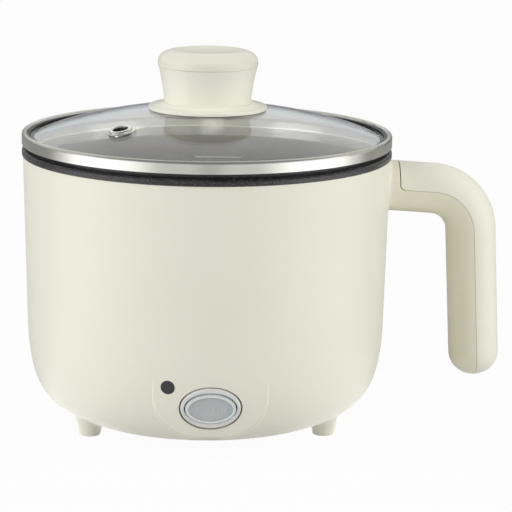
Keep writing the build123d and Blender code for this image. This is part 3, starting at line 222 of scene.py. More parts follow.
def makeLinesGroup():
    # Fine polishing lines that run round the Z axis: noise over radius and level, in line sizes,
    # stretched along the angle; the mask is the noise between its two ends
    noisePerTurn, maskEnds = 3.0, (0.35, 0.65)
    group, start, end = newGroup(
        "Turned Lines",
        [("Line Size", "NodeSocketFloat", 0.0003)],
        [("Height", "NodeSocketFloat"), ("Mask", "NodeSocketFloat")],
    )
    size = start.outputs["Line Size"]
    place = addNode(group, "TexCoord").outputs["Object"]
    x, y, z = addNode(group, "SeparateXYZ", Vector=place).outputs
    squares = addMath(group, "ADD", addProduct(group, x, x), addProduct(group, y, y))
    join = addNode(
        group, "CombineXYZ",
        X=addMath(group, "DIVIDE", addMath(group, "SQRT", squares), size),
        Y=addMath(group, "DIVIDE", z, size),
        Z=addMath(group, "MULTIPLY", addMath(group, "ARCTAN2", y, x), noisePerTurn),
    )
    lines = addNode(
        group, "TexNoise", Vector=join.outputs[0], Scale=1.0, Detail=4.0, Roughness=0.7,
    ).outputs["Fac"]
    feedAll(group, end, {"Height": lines, "Mask": addRange(group, lines, *maskEnds, 0.0, 1.0)})
    return group


def makeSmudgeGroup():
    # Faint wiping and handling marks, where a glossy face is a little duller: a clouded noise
    # between the mask's two ends
    maskEnds = (0.5, 0.75)
    group, start, end = newGroup(
        "Handling Marks",
        [("Mark Size", "NodeSocketFloat", 0.012)],
        [("Mask", "NodeSocketFloat")],
    )
    place = scaledPlace(group, start.outputs["Mark Size"])
    cloud = addNode(
        group, "TexNoise", Vector=place, Scale=1.0, Detail=5.0, Roughness=0.6, Distortion=1.2,
    )
    feed(group, end.inputs["Mask"], addRange(group, cloud.outputs["Fac"], *maskEnds, 0.0, 1.0))
    return group


grainGroup = makeGrainGroup()
toneGroup = makeToneGroup()
speckGroup = makeSpeckGroup()
linesGroup = makeLinesGroup()
smudgeGroup = makeSmudgeGroup()
print("node groups made")


# Ways to make a finish

def newFinish(name, **values):
    # A material with one Principled shader and the inputs given
    material = bpy.data.materials.new(name)
    material.use_nodes = True
    tree = material.node_tree
    return material, tree, feedAll(tree, tree.nodes["Principled BSDF"], values)


def addBump(tree, shader, height, strength, distance):
    # A height drawn as small slopes of the surface
    bump = addNode(tree, "Bump", Strength=strength, Distance=distance, Height=height)
    feed(tree, shader.inputs["Normal"], bump.outputs["Normal"])


def addTone(tree, shader, look):
    # Tone drift on the base colour; gives back its mask
    tone = useGroup(
        tree, toneGroup,
        Colour=look["colour"], Other_Colour=look["otherColour"], Patch_Size=look["patch"],
    )
    feed(tree, shader.inputs["Base Color"], tone.outputs["Colour"])
    return tone.outputs["Mask"]


def addRoughness(tree, shader, mask, maskEnd, low, high):
    # Roughness from low to high as a mask runs from 0 to its end
    feed(tree, shader.inputs["Roughness"], addRange(tree, mask, 0.0, maskEnd, low, high))


def addMouldedFace(tree, shader, look, duller, pitShare, bumpShare, glossier=0.0):
    # Tone drift in the colour, a roughness that follows it, and moulded grain as bump
    rough = look["roughness"]
    mask = addTone(tree, shader, look)
    addRoughness(tree, shader, mask, 1.0, rough - glossier, rough + duller)
    grain = useGroup(tree, grainGroup, Grain_Size=look["grain"], Pit_Share=pitShare)
    addBump(tree, shader, grain.outputs["Height"], look["bump"], look["grain"] * bumpShare)


def plasticFinish(name, look):
    # Moulded plastic
    material, tree, shader = newFinish(name, IOR=1.5)
    addMouldedFace(tree, shader, look, duller=0.04, pitShare=0.6, bumpShare=0.25, glossier=0.03)
    return material


def rubberFinish(name, look):
    # Silicone or cable sleeve: soft sheen and a very fine grain
    material, tree, shader = newFinish(name, IOR=1.42, Sheen_Weight=0.15, Sheen_Roughness=0.5)
    addMouldedFace(tree, shader, look, duller=0.1, pitShare=0.3, bumpShare=0.3)
    return material


def milkyFinish(name, look):
    # Translucent silicone: scatters light a little below its face, under a thin gloss
    material, tree, shader = newFinish(
        name, IOR=1.41, Subsurface_Weight=look["depth"], Subsurface_Scale=2.0 * mm,
        Coat_Weight=look["coat"], Coat_Roughness=0.18,
    )
    addMouldedFace(tree, shader, look, duller=0.06, pitShare=0.3, bumpShare=0.3)
    return material


def metalFinish(name, look):
    # Metal sheet or turned metal: polishing lines, and marks that dull it here and there. A brushed
    # one draws reflections out across the lines, which run round the Z axis
    bothMasks, bumpShare, quarterTurn = 2.0, 0.3, 0.25
    brushed = look.get("brushed", 0.0)
    material, tree, shader = newFinish(
        name, Metallic=1.0, Anisotropic=brushed, Anisotropic_Rotation=quarterTurn,
    )
    if brushed:
        lay = addNode(tree, "Tangent")
        lay.direction_type = "RADIAL"
        lay.axis = "Z"
        feed(tree, shader.inputs["Tangent"], lay.outputs[0])
    addTone(tree, shader, look)
    lines = useGroup(tree, linesGroup, Line_Size=look["line"])
    marks = useGroup(tree, smudgeGroup, Mark_Size=look["patch"])
    worn = addMath(tree, "ADD", lines.outputs["Mask"], marks.outputs["Mask"])
    rough = look["roughness"]
    addRoughness(tree, shader, worn, bothMasks, rough, rough + look["dulling"])
    addBump(tree, shader, lines.outputs["Height"], look["bump"], look["line"] * bumpShare)
    return material


def coatingFinish(name, look):
    # Non-stick coating with stone specks, a little duller where it was handled
    duller, bumpShare, markSize = 0.08, 0.3, 20.0 * mm
    material, tree, shader = newFinish(
        name, IOR=1.45, Coat_Weight=look["coat"], Coat_Roughness=0.32,
    )
    specks = useGroup(
        tree, speckGroup,
        Base=look["colour"], Light_Speck=look["lightSpeck"], Dark_Speck=look["darkSpeck"],
        Speck_Size=look["speck"], Speck_Share=look["share"],
    )
    feed(tree, shader.inputs["Base Color"], specks.outputs["Colour"])
    marks = useGroup(tree, smudgeGroup, Mark_Size=markSize).outputs["Mask"]
    addRoughness(tree, shader, marks, 1.0, look["roughness"], look["roughness"] + duller)
    addBump(tree, shader, specks.outputs["Height"], look["bump"], look["speck"] * bumpShare)
    return material


def glassFinish(name, look):
    # Clear glass with a slow waviness; lamps shine through it on to what it covers
    bumpShare = 0.01
    material, tree, shader = newFinish(
        name, Base_Color=look["colour"], Roughness=look["roughness"], IOR=look["ior"],
        Transmission_Weight=1.0,
    )
    place = addNode(tree, "TexCoord").outputs["Object"]
    wave = addNode(tree, "TexNoise", Vector=place, Scale=1.0 / look["wave"], Detail=0.0)
    addBump(tree, shader, wave.outputs["Fac"], look["bump"], look["wave"] * bumpShare)
    clear = addNode(tree, "BsdfTransparent", Color=look["shade"])
    shadow = addNode(tree, "LightPath").outputs["Is Shadow Ray"]
    either = addShaderMix(tree, shadow, shader.outputs[0], clear.outputs[0])
    feed(tree, tree.nodes["Material Output"].inputs["Surface"], either)
    return material


# One entry for each material slot of the model, and one for each node whose colour differs from its
# slot's: how it is made, and what a user would change. The knob parts and the outer handle half are
# the shell's cream made lighter or darker as painted light and shade, for the way light falls on
# them

finishLooks = {
    "cream_shell": (plasticFinish, {
        "colour": rgb(0.80, 0.787, 0.675), "otherColour": rgb(0.785, 0.770, 0.655), "patch": 0.05,
        "grain": 0.00042, "roughness": 0.40, "bump": 0.10,
    }),
    # Paler than the shell's cream: painted highlight along the panel's rounded edge
    "panel_bead": (plasticFinish, {
        "colour": rgb(0.87, 0.858, 0.745), "otherColour": rgb(0.855, 0.842, 0.725), "patch": 0.03,
        "grain": 0.00042, "roughness": 0.36, "bump": 0.10,
    }),
    # Slightly darker than the shell's cream: painted shade that tones down the cap's upward faces
    "knob_cap": (plasticFinish, {
        "colour": rgb(0.785, 0.772, 0.655), "otherColour": rgb(0.77, 0.755, 0.635), "patch": 0.03,
        "grain": 0.00042, "roughness": 0.30, "bump": 0.10,
    }),
    # Lighter than the shell's cream: painted light on the knob's waist, which faces down under the
    # cap
    "knob_body": (plasticFinish, {
        "colour": rgb(0.87, 0.858, 0.748), "otherColour": rgb(0.855, 0.840, 0.725), "patch": 0.03,
        "grain": 0.00042, "roughness": 0.32, "bump": 0.10,
    }),
    # A little lighter than the shell's cream: painted light on the knob's base flange
    "knob_base": (plasticFinish, {
        "colour": rgb(0.825, 0.812, 0.700), "otherColour": rgb(0.81, 0.795, 0.678), "patch": 0.03,
        "grain": 0.00042, "roughness": 0.24, "bump": 0.10,
    }),
    # Lighter than the shell's cream: painted light on the outer handle half
    "handle_outer": (plasticFinish, {
        "colour": rgb(0.84, 0.828, 0.713), "otherColour": rgb(0.825, 0.810, 0.690), "patch": 0.05,
        "grain": 0.00042, "roughness": 0.40, "bump": 0.10,
    }),
    "handle_inner": (plasticFinish, {
        "colour": rgb(0.81, 0.768, 0.605), "otherColour": rgb(0.795, 0.748, 0.580), "patch": 0.05,
        "grain": 0.00042, "roughness": 0.42, "bump": 0.10,
    }),
    "pot_coating": (coatingFinish, {
        "colour": rgb(0.012, 0.012, 0.013), "lightSpeck": rgb(0.16, 0.16, 0.16),
        "darkSpeck": rgb(0.006, 0.006, 0.006), "speck": 0.00042, "share": 0.22,
        "roughness": 0.31, "coat": 0.15, "bump": 0.30,
    }),
    "silicone": (rubberFinish, {
        "colour": rgb(0.30, 0.30, 0.29), "otherColour": rgb(0.24, 0.24, 0.235), "patch": 0.02,
        "grain": 0.0003, "roughness": 0.55, "bump": 0.2,
    }),
    "rocker_key": (milkyFinish, {
        "colour": rgb(0.51, 0.53, 0.535), "otherColour": rgb(0.48, 0.50, 0.505), "patch": 0.01,
        "grain": 0.0003, "roughness": 0.32, "bump": 0.1, "depth": 0.3, "coat": 0.2,
    }),
    "rocker_marks": (milkyFinish, {
        "colour": rgb(0.60, 0.615, 0.615), "otherColour": rgb(0.57, 0.585, 0.585), "patch": 0.01,
        "grain": 0.0003, "roughness": 0.32, "bump": 0.1, "depth": 0.3, "coat": 0.2,
    }),
    "clear_silicone": (milkyFinish, {
        "colour": rgb(0.78, 0.785, 0.76), "otherColour": rgb(0.74, 0.745, 0.72), "patch": 0.01,
        "grain": 0.0003, "roughness": 0.30, "bump": 0.1, "depth": 0.3, "coat": 0.25,
    }),
    "grey_plastic": (milkyFinish, {
        "colour": rgb(0.44, 0.45, 0.445), "otherColour": rgb(0.41, 0.42, 0.415), "patch": 0.01,
        "grain": 0.00035, "roughness": 0.34, "bump": 0.12, "depth": 0.2, "coat": 0.2,
    }),
    "black_silicone": (rubberFinish, {
        "colour": rgb(0.016, 0.016, 0.017), "otherColour": rgb(0.024, 0.024, 0.025), "patch": 0.012,
        "grain": 0.0003, "roughness": 0.50, "bump": 0.15,
    }),
    "black_plastic": (plasticFinish, {
        "colour": rgb(0.020, 0.020, 0.021), "otherColour": rgb(0.028, 0.028, 0.029), "patch": 0.02,
        "grain": 0.0005, "roughness": 0.45, "bump": 0.3,
    }),
    "aluminium": (metalFinish, {
        "colour": rgb(0.78, 0.78, 0.79), "otherColour": rgb(0.68, 0.68, 0.69), "patch": 0.02,
        "line": 0.0005, "roughness": 0.38, "dulling": 0.2, "bump": 0.3,
    }),
    "steel": (metalFinish, {
        "colour": rgb(0.62, 0.62, 0.61), "otherColour": rgb(0.52, 0.52, 0.51), "patch": 0.008,
        "line": 0.0004, "roughness": 0.30, "dulling": 0.2, "bump": 0.25,
    }),
    "polished_steel": (metalFinish, {
        "colour": rgb(0.67, 0.66, 0.615), "otherColour": rgb(0.62, 0.61, 0.565), "patch": 0.02,
        "line": 0.00025, "roughness": 0.27, "dulling": 0.06, "bump": 0.02, "brushed": 0.90,
    }),
    "vent_eyelet": (metalFinish, {
        "colour": rgb(0.72, 0.71, 0.68), "otherColour": rgb(0.66, 0.65, 0.62), "patch": 0.02,
        "line": 0.00025, "roughness": 0.10, "dulling": 0.06, "bump": 0.02,
    }),
    "brass_contact": (metalFinish, {
        "colour": rgb(0.80, 0.62, 0.30), "otherColour": rgb(0.68, 0.50, 0.24), "patch": 0.004,
        "line": 0.0004, "roughness": 0.26, "dulling": 0.2, "bump": 0.2,
    }),
    "fuse_metal": (metalFinish, {
        "colour": rgb(0.70, 0.69, 0.66), "otherColour": rgb(0.58, 0.57, 0.55), "patch": 0.003,
        "line": 0.0003, "roughness": 0.28, "dulling": 0.2, "bump": 0.2,
    }),
    "glass": (glassFinish, {
        "colour": rgb(0.965, 0.975, 0.970), "shade": rgb(0.90, 0.91, 0.90), "roughness": 0.0,
        "ior": 1.52, "wave": 0.04, "bump": 0.05,
    }),
    "lamp_glass": (glassFinish, {
        "colour": rgb(0.95, 0.55, 0.35), "shade": rgb(0.9, 0.6, 0.4), "roughness": 0.05,
        "ior": 1.5, "wave": 0.004, "bump": 0.1,
    }),
    "glass_sleeve": (rubberFinish, {
        "colour": rgb(0.72, 0.70, 0.62), "otherColour": rgb(0.62, 0.60, 0.52), "patch": 0.003,
        "grain": 0.0006, "roughness": 0.6, "bump": 0.8,
    }),
    "wire_brown": (rubberFinish, {
        "colour": rgb(0.16, 0.07, 0.03), "otherColour": rgb(0.13, 0.055, 0.025), "patch": 0.01,
        "grain": 0.0003, "roughness": 0.42, "bump": 0.2,
    }),
    "wire_blue": (rubberFinish, {
        "colour": rgb(0.03, 0.09, 0.36), "otherColour": rgb(0.025, 0.07, 0.30), "patch": 0.01,
        "grain": 0.0003, "roughness": 0.42, "bump": 0.2,
    }),
    "wire_red": (rubberFinish, {
        "colour": rgb(0.42, 0.03, 0.025), "otherColour": rgb(0.36, 0.025, 0.02), "patch": 0.01,
        "grain": 0.0003, "roughness": 0.42, "bump": 0.2,
    }),
    "wire_green": (rubberFinish, {
        "colour": rgb(0.05, 0.28, 0.05), "otherColour": rgb(0.30, 0.32, 0.03), "patch": 0.006,
        "grain": 0.0003, "roughness": 0.42, "bump": 0.2,
    }),
}
finishes = {label: make(label + "Finish", look) for label, (make, look) in finishLooks.items()}

for nodeName, part in nodes.items():
    for holder in part.material_slots:
        slotName = holder.material.name.split(".")[0]
        holder.material = finishes.get(nodeName, finishes[slotName])
print("finishes made:", len(finishes))


# Surfaces worked out on a grid

weldDistance = 1e-7


def gridFaces(rows, columns):
    # Quads between the rows of a grid whose last column meets its first
    row, column = np.meshgrid(np.arange(rows - 1), np.arange(columns), indexing="ij")
    here = row * columns + column
    beside = row * columns + (column + 1) % columns
    return np.stack([here, beside, beside + columns, here + columns], axis=-1).reshape(-1, 4)


def makePiece(name, surfaces, finish, body):
    # One piece from several grids of points, welded at poles and seams, with its faces outwards
    mesh = bpy.data.meshes.new(name)
    points, faces, count = [], [], 0
    for grid in surfaces:
        rows, columns = grid.shape[:2]
        points.append(grid.reshape(-1, 3))
        faces.append(gridFaces(rows, columns) + count)
        count += rows * columns
    mesh.from_pydata(np.concatenate(points).tolist(), [], np.concatenate(faces).tolist())
    work = bmesh.new()
    work.from_mesh(mesh)
    bmesh.ops.remove_doubles(work, verts=work.verts, dist=weldDistance)
    bmesh.ops.recalc_face_normals(work, faces=work.faces)
    work.to_mesh(mesh)
    work.free()
    mesh.polygons.foreach_set("use_smooth", np.ones(len(mesh.polygons), bool))
    mesh.materials.append(finish)
    piece = bpy.data.objects.new(name, mesh)
    bpy.context.scene.collection.objects.link(piece)
    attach(piece, body)


def unit(vector):
    # A direction, or each row of a table of them, at length 1
    return vector / np.linalg.norm(vector, axis=-1, keepdims=True)


def verticesOf(nodeName):
    # A CAD node's vertices as a table
    return np.array([v.co for v in nodes[nodeName].data.vertices], float)


def middleOf(points):
    return (points.min(0) + points.max(0)) / 2


def skinOf(nodeName):
    # A search tree over a CAD node's faces
    source = nodes[nodeName].data
    faces = [face.vertices[:] for face in source.polygons]
    return BVHTree.FromPolygons([v.co for v in source.vertices], faces)


def skinHit(skin, start, direction):
    # Where a ray meets a skin: the point and the outward normal there
    place, normal = skin.ray_cast(Vector(start), Vector(direction).normalized())[:2]
    return np.array(place), np.array(normal)


def placed(plane, x, y, z):
    # A plane's own coordinates in space: origin + x across + y up + z out
    origin, across, up, out = plane
    x, y, z = np.broadcast_arrays(x, y, z)
    return origin + x[..., None] * across + y[..., None] * up + z[..., None] * out


def padOnPlane(plane, halfWidth, halfHeight, height, straight=0.0, columns=48, rows=13):
    # Low rounded pad: half ellipses round a straight run. For turn a and rise b, the point is
    # (halfWidth cos a cos b, halfHeight sin a cos b + straight sign(sin a)), lifted by
    # height sin b
    turn = np.linspace(0.0, 2.0 * np.pi, columns, endpoint=False) + np.pi / columns
    rise = np.linspace(-np.pi / 2, np.pi / 2, rows)[:, None]
    x = halfWidth * np.cos(turn) * np.cos(rise)
    y = halfHeight * np.sin(turn) * np.cos(rise) + straight * np.sign(np.sin(turn))
    return placed(plane, x, y, height * np.sin(rise))


def ringAngles(columns=96, rows=17):
    # The turn round a ring as a row, and the angle round its section as a closed column
    turn = np.linspace(0.0, 2.0 * np.pi, columns, endpoint=False)
    return turn, np.linspace(0.0, 2.0 * np.pi, rows)[:, None]


def ringOnPlane(plane, halfWidth, halfHeight, thickness, height):
    # Oval ring of oval section. For turn a, section angle b and g = thickness / 2 cos b, the point
    # is ((halfWidth + g) cos a, (halfHeight + g) sin a), lifted by height sin b
    turn, section = ringAngles()
    grow = thickness / 2 * np.cos(section)
    x = (halfWidth + grow) * np.cos(turn)
    y = (halfHeight + grow) * np.sin(turn)
    return placed(plane, x, y, height * np.sin(section))


def taper(share, bluntness):
    # Size along a line whose share runs from -1 to 1: sqrt(1 - |share| ^ bluntness), so that it
    # shrinks to nothing at the two ends, like the tips of a brush stroke
    return np.sqrt(np.clip(1.0 - np.abs(share) ** bluntness, 0.0, 1.0))


# The rocker key's own directions and outline: up along its pivot, and out of the panel. Rays on
# to a small piece start rayReach outside its middle

rayReach = 50.0 * mm
rockerJoint = next(joint for joint in frame["joints"] if joint["name"] == "rocker_tilt")
panelUp = unit(np.asarray(rockerJoint["axis"], float))
panelOut = np.cross((1.0, 0.0, 0.0), panelUp)
panelAcross = np.cross(panelUp, panelOut)
keyMiddle = middleOf(verticesOf("rocker_key"))
keySpread = verticesOf("rocker_key") - keyMiddle
keyHalfWidth = np.abs(keySpread @ panelAcross).max()
keyHalfHeight = np.abs(keySpread @ panelUp).max()
keyRim = (keySpread @ panelOut).max()


def panelPlane(origin):
    # The panel's plane moved to a point
    return origin, panelAcross, panelUp, panelOut


# Marks on the rocker: off in the middle, low power on the left, full power on the right

rockerMarks = {
    "sideOffset": 6.2 * mm,
    "markHeight": 3.6 * mm,
    "lineWidth": 0.55 * mm,
    "relief": 0.12 * mm,
    "sink": 0.02 * mm,
    "pairGap": 1.5 * mm,
    "ovalWidth": 2.7 * mm,
}


def makeRockerMarks(look):
    # Three raised marks in the key's dished face: a bar, an oval, and a pair of bars
    face = skinHit(skinOf("rocker_key"), keyMiddle + panelOut * rayReach, -panelOut)[0]
    middle = face - panelOut * look["sink"]
    side = panelAcross * look["sideOffset"]
    pair = panelAcross * look["pairGap"] / 2
    halfLine = look["lineWidth"] / 2
    halfWidth = look["ovalWidth"] / 2 - halfLine
    halfHeight = look["markHeight"] / 2 - halfLine
    surfaces = [
        padOnPlane(panelPlane(place), halfLine, halfLine, look["relief"], halfHeight)
        for place in (middle - side, middle + side - pair, middle + side + pair)
    ]
    oval = (halfWidth, halfHeight, look["lineWidth"], look["relief"])
    surfaces.append(ringOnPlane(panelPlane(middle), *oval))
    makePiece("rockerMarks", surfaces, finishes["rocker_marks"], "rocker")


makeRockerMarks(rockerMarks)
print("rocker marks made")


# Soft lip that closes the slot between the switch's boot and its key

switchLip = {
    "gap": 0.55 * mm,
    "slack": 0.02 * mm,
    "give": 0.48 * mm,
    "depth": 0.35 * mm,
    "halfHeight": 0.22 * mm,
}


def makeSwitchLip(look):
    # Oval ring in the slot, level with the boot's face. It runs along the boot's side: at turn a it
    # reaches inwards to slack + give |nx|, with nx the outline's normal across the key, so that it
    # leaves room at the two ends that swing when the key tilts
    bootFace = ((verticesOf("switch_boot") - keyMiddle) @ panelOut).max()
    turn, section = ringAngles()
    normalAcross, normalUp = np.cos(turn) / keyHalfWidth, np.sin(turn) / keyHalfHeight
    length = np.hypot(normalAcross, normalUp)
    normalAcross, normalUp = normalAcross / length, normalUp / length
    inner = look["slack"] + look["give"] * np.abs(normalAcross)
    outer = look["gap"] - look["slack"]
    grow = (inner + outer) / 2 + (outer - inner) / 2 * np.cos(section)
    x = keyHalfWidth * np.cos(turn) + grow * normalAcross
    y = keyHalfHeight * np.sin(turn) + grow * normalUp
    z = bootFace - look["depth"] + look["halfHeight"] * np.sin(section)
    lip = placed(panelPlane(keyMiddle), x, y, z)
    makePiece("switchLip", [lip], finishes["clear_silicone"], "pot_base")


makeSwitchLip(switchLip)
print("switch lip made")


# Raised edge on the rim of the rocker's key, in pale silicone over the darker key: partly a real
# ridge, partly a painted highlight along the rim

keyEdgeHighlight = {
    "inset": 0.95 * mm,
    "width": 1.0 * mm,
    "halfHeight": 0.22 * mm,
    "sink": 0.02 * mm,
}


def makeKeyEdgeHighlight(look):
    # Oval ring along the key's outline, drawn in by its inset; its pale colour paints the highlight
    # along the ridge
    plane = panelPlane(keyMiddle + panelOut * (keyRim - look["sink"]))
    size = (keyHalfWidth - look["inset"], keyHalfHeight - look["inset"])
    edge = ringOnPlane(plane, *size, look["width"], look["halfHeight"])
    makePiece("keyEdgeHighlight", [edge], finishes["clear_silicone"], "rocker")


makeKeyEdgeHighlight(keyEdgeHighlight)
print("key edge made")


# Plain round indicator dot beside the switch, printed on the panel

indicatorDot = {
    "x": -20.2 * mm,
    "z": 39.5 * mm,
    "radius": 3.4 * mm,
    "relief": 0.12 * mm,
    "sink": 0.03 * mm,
    "rayStart": -200.0 * mm,
    "columns": 72,
}


def makeIndicatorDot(look):
    # Round pad where a ray from the front meets the panel, square to the panel there
    start = (look["x"], look["rayStart"], look["z"])
    place, out = skinHit(skinOf("outer_shell"), start, (0.0, 1.0, 0.0))
    up = unit(np.cross(out, (1.0, 0.0, 0.0)))
    plane = (place - out * look["sink"], np.cross(up, out), up, out)
    radius = look["radius"]
    pad = padOnPlane(plane, radius, radius, look["relief"], columns=look["columns"])
    makePiece("indicatorDot", [pad], finishes["black_plastic"], "pot_base")


makeIndicatorDot(indicatorDot)
print("indicator dot made")


# Fill line inside the pot, on the wall away from the switch

fillLine = {
    "level": 120.0 * mm,
    "middleAngle": 84.0,
    "halfAngle": 9.0,
    "height": 1.1 * mm,
    "relief": 0.06 * mm,
    "bluntness": 24,
    "steps": 61,
    "sectionSteps": 12,
}


def makeFillLine(look):
    # Raised line round part of the wall. For section angle b: radius = wall - relief cos b, and
    # level = fill level + height / 2 sin b, both tapered at the two ends
    wallHit = skinHit(skinOf("inner_pot"), (0.0, 0.0, look["level"]), (0.0, 1.0, 0.0))[0]
    wall = math.hypot(wallHit[0], wallHit[1])
    share = np.linspace(-1.0, 1.0, look["steps"])[:, None]
    angle = math.radians(look["middleAngle"]) + math.radians(look["halfAngle"]) * share
    size = taper(share, look["bluntness"])
    section = np.linspace(0.0, 2.0 * np.pi, look["sectionSteps"], endpoint=False)
    radius = wall - look["relief"] * size * np.cos(section)
    level = look["level"] + look["height"] / 2 * size * np.sin(section)
    line = np.stack([radius * np.cos(angle), radius * np.sin(angle), level], axis=-1)
    makePiece("fillLine", [line], finishes["silicone"], "pot_base")


makeFillLine(fillLine)
print("fill line made")


# Base flange of the steam eyelet, lying on the glass round its collar

eyeletFlange = {
    "crestRadius": 4.7 * mm,
    "radius": 6.15 * mm,
    "width": 2.0 * mm,
    "halfHeight": 0.32 * mm,
    "drop": 1.28 * mm,
}


def makeEyeletFlange(look):
    # Three rays from above meet the collar's crest and give its plane; the round ring lies one
    # drop below that
    middle, skin = middleOf(verticesOf("vent_eyelet")), skinOf("vent_eyelet")
    crest, hits = look["crestRadius"], []
    for turn in (0.0, 2.0 * np.pi / 3, 4.0 * np.pi / 3):
        start = middle + (crest * math.cos(turn), crest * math.sin(turn), rayReach)
        hits.append(skinHit(skin, start, (0.0, 0.0, -1.0))[0])
    across = unit(hits[1] - hits[0])
    out = unit(np.cross(across, hits[2] - hits[0]))
    plane = (sum(hits) / len(hits) - look["drop"] * out, across, np.cross(out, across), out)
    radius = look["radius"]
    ring = ringOnPlane(plane, radius, radius, look["width"], look["halfHeight"])
    makePiece("eyeletFlange", [ring], finishes["vent_eyelet"], "lid")


makeEyeletFlange(eyeletFlange)
print("eyelet flange made")


# Fine bead along the edge of the front panel, in a paler cream than the shell: a painted highlight
# on the panel's rounded edge

panelBead = {
    "halfWidth": 26.95 * mm,
    "floor": 0.45 * mm,
    "cornerRadius": 21.55 * mm,
    "top": 30.0 * mm,
    "width": 1.0 * mm,
    "relief": 0.09 * mm,
    "bluntness": 14,
    "searchHalfWidth": 1.0 * mm,
    "searchFront": -70.0 * mm,
    "rayStart": -150.0 * mm,
    "sideSteps": 24,
    "cornerSteps": 40,
    "floorSteps": 14,
    "sectionSteps": 14,
}


def panelPath(look):
    # Points (x, height above the panel's floor): down the left side, round two corners and up the
    # right side, which is the left one mirrored
    half, corner, steps = look["halfWidth"], look["cornerRadius"], look["floorSteps"]
    turn = np.linspace(0.0, np.pi / 2, look["cornerSteps"])
    rise = np.linspace(look["top"], corner, look["sideSteps"])
    left = np.stack([np.full(look["sideSteps"], -half), rise], axis=-1)
    bend = np.stack(
        [-half + corner - corner * np.cos(turn), corner - corner * np.sin(turn)], axis=-1
    )
    flat = np.stack([np.linspace(-half + corner, half - corner, steps), np.zeros(steps)], axis=-1)
    path = np.concatenate([left, bend[1:], flat[1:]])
    return np.concatenate([path, (path[::-1] * (-1.0, 1.0))[steps:]])


def makePanelHighlightBead(look):
    # Rays from the front find each point of the path on the shell. With section angle b the surface
    # is point + width / 2 cos b sideways + relief sin b outwards, both tapered at the upper ends
    shell = verticesOf("outer_shell")
    near = (np.abs(shell[:, 0]) < look["searchHalfWidth"]) & (shell[:, 1] < look["searchFront"])
    low = shell[near, 2].min() + look["floor"]
    skin = skinOf("outer_shell")
    hits = [
        skinHit(skin, (x, look["rayStart"], low + z), (0.0, 1.0, 0.0)) for x, z in panelPath(look)
    ]
    points, outs = (np.array(side) for side in zip(*hits))
    aside = np.cross(unit(np.gradient(points, axis=0)), outs)
    size = taper(np.linspace(-1.0, 1.0, len(points)), look["bluntness"])[:, None, None]
    section = np.linspace(0.0, 2.0 * np.pi, look["sectionSteps"])[None, :, None]
    spread = look["width"] / 2 * np.cos(section) * aside[:, None, :]
    lift = look["relief"] * np.sin(section) * outs[:, None, :]
    line = points[:, None, :] + size * (spread + lift)
    # The bead's paler finish is painted highlight along the panel's edge
    makePiece("panelBead", [line], finishes["panel_bead"], "pot_base")


makePanelHighlightBead(panelBead)
print("panel bead made")


# Studio: pale floor, white surroundings, soft lamps

studio = {
    "floorHalf": 8.0,
    "ambient": 0.39,
    "mirrored": {
        # What shiny faces see. Brightness and tint at the horizon and on the backdrop, and the
        # backdrop's share of its brightness off to the sides. Each pair of ends is where a change
        # starts and stops, as a part of the direction: heights for rise, fall and cards, depths
        # for behind and ahead, and the distance sideways for aside
        "horizon": 0.25, "backdrop": 1.10, "aside": 0.62,
        "horizonTint": rgb(0.93, 0.97, 1.0), "backdropTint": rgb(1.0, 0.985, 0.955),
        "riseEnds": (0.07, 0.33), "fallEnds": (0.80, 0.97), "behindEnds": (-0.1, 0.25),
        "asideEnds": (0.06, 0.45), "cardEnds": (0.16, 0.34), "aheadEnds": (-0.04, 0.14),
    },
    "cards": {
        # Two low reflector cards as shiny faces see them: brightness behind them, straight in
        # front, beside that and on the cards, and the sines and cosines of the directions where
        # each change starts and stops
        "rear": 0.36, "middle": 0.62, "front": 0.95, "card": 2.1,
        "middleEnds": (0.0, 0.20), "cardEnds": (0.50, 0.80), "rearEnds": (-0.33, 0.14),
    },
    "floorGlow": 0.96,
    "floorMirrored": 0.95,
    "paper": (rgb(0.66, 0.66, 0.66), rgb(0.68, 0.68, 0.68)),
    "lamps": [
        # name, place, target, (width, height), watts, spread in degrees, colour
        ("leftSoftbox", (-1.42, -0.49, 0.92), (0.0, 0.0, 0.20), (1.2, 1.5), 18.5, 180.0,
         (0.99, 1.0, 1.01)),
        ("rightSoftbox", (1.42, -0.49, 0.92), (0.0, 0.0, 0.20), (1.2, 1.5), 16.8, 180.0,
         (1.0, 1.0, 0.99)),
        ("frontFill", (-0.10, -1.35, 0.26), (0.03, 0.0, 0.13), (0.40, 0.20), 0.074, 30.0,
         (1.0, 1.0, 1.0)),
    ],
}
white = rgb(1.0, 1.0, 1.0)


def makeCardGroup(look):
    # Brightness of a level direction, seen by shiny faces. In front it rises from the middle to the
    # sides and again to the cards; past the cards it drops: rear + ahead x (middle + card), with
    # middle and card counted from the rear's and the front's brightness
    group, start, end = newGroup(
        "Card Reflections",
        [("Vector", "NodeSocketVector", (0.0, 0.0, 0.0))],
        [("Level", "NodeSocketFloat")],
    )
    rear, front = look["rear"], look["front"]
    flat = addVectorMath(group, "MULTIPLY", start.outputs["Vector"], (1.0, 1.0, 0.0))
    level = addVectorMath(group, "NORMALIZE", flat)
    split = addNode(group, "SeparateXYZ", Vector=level)
    aside = addMath(group, "ABSOLUTE", split.outputs["X"])
    forward = addMath(group, "MULTIPLY", split.outputs["Y"], -1.0)
    middle = addRange(group, aside, *look["middleEnds"], look["middle"] - rear, front - rear)
    card = addRange(group, aside, *look["cardEnds"], 0.0, look["card"] - front)
    ahead = addRange(group, forward, *look["rearEnds"], 0.0, 1.0)
    total = addMath(group, "MULTIPLY", ahead, addMath(group, "ADD", middle, card))
    feed(group, end.inputs["Level"], addMath(group, "ADD", total, rear))
    return group


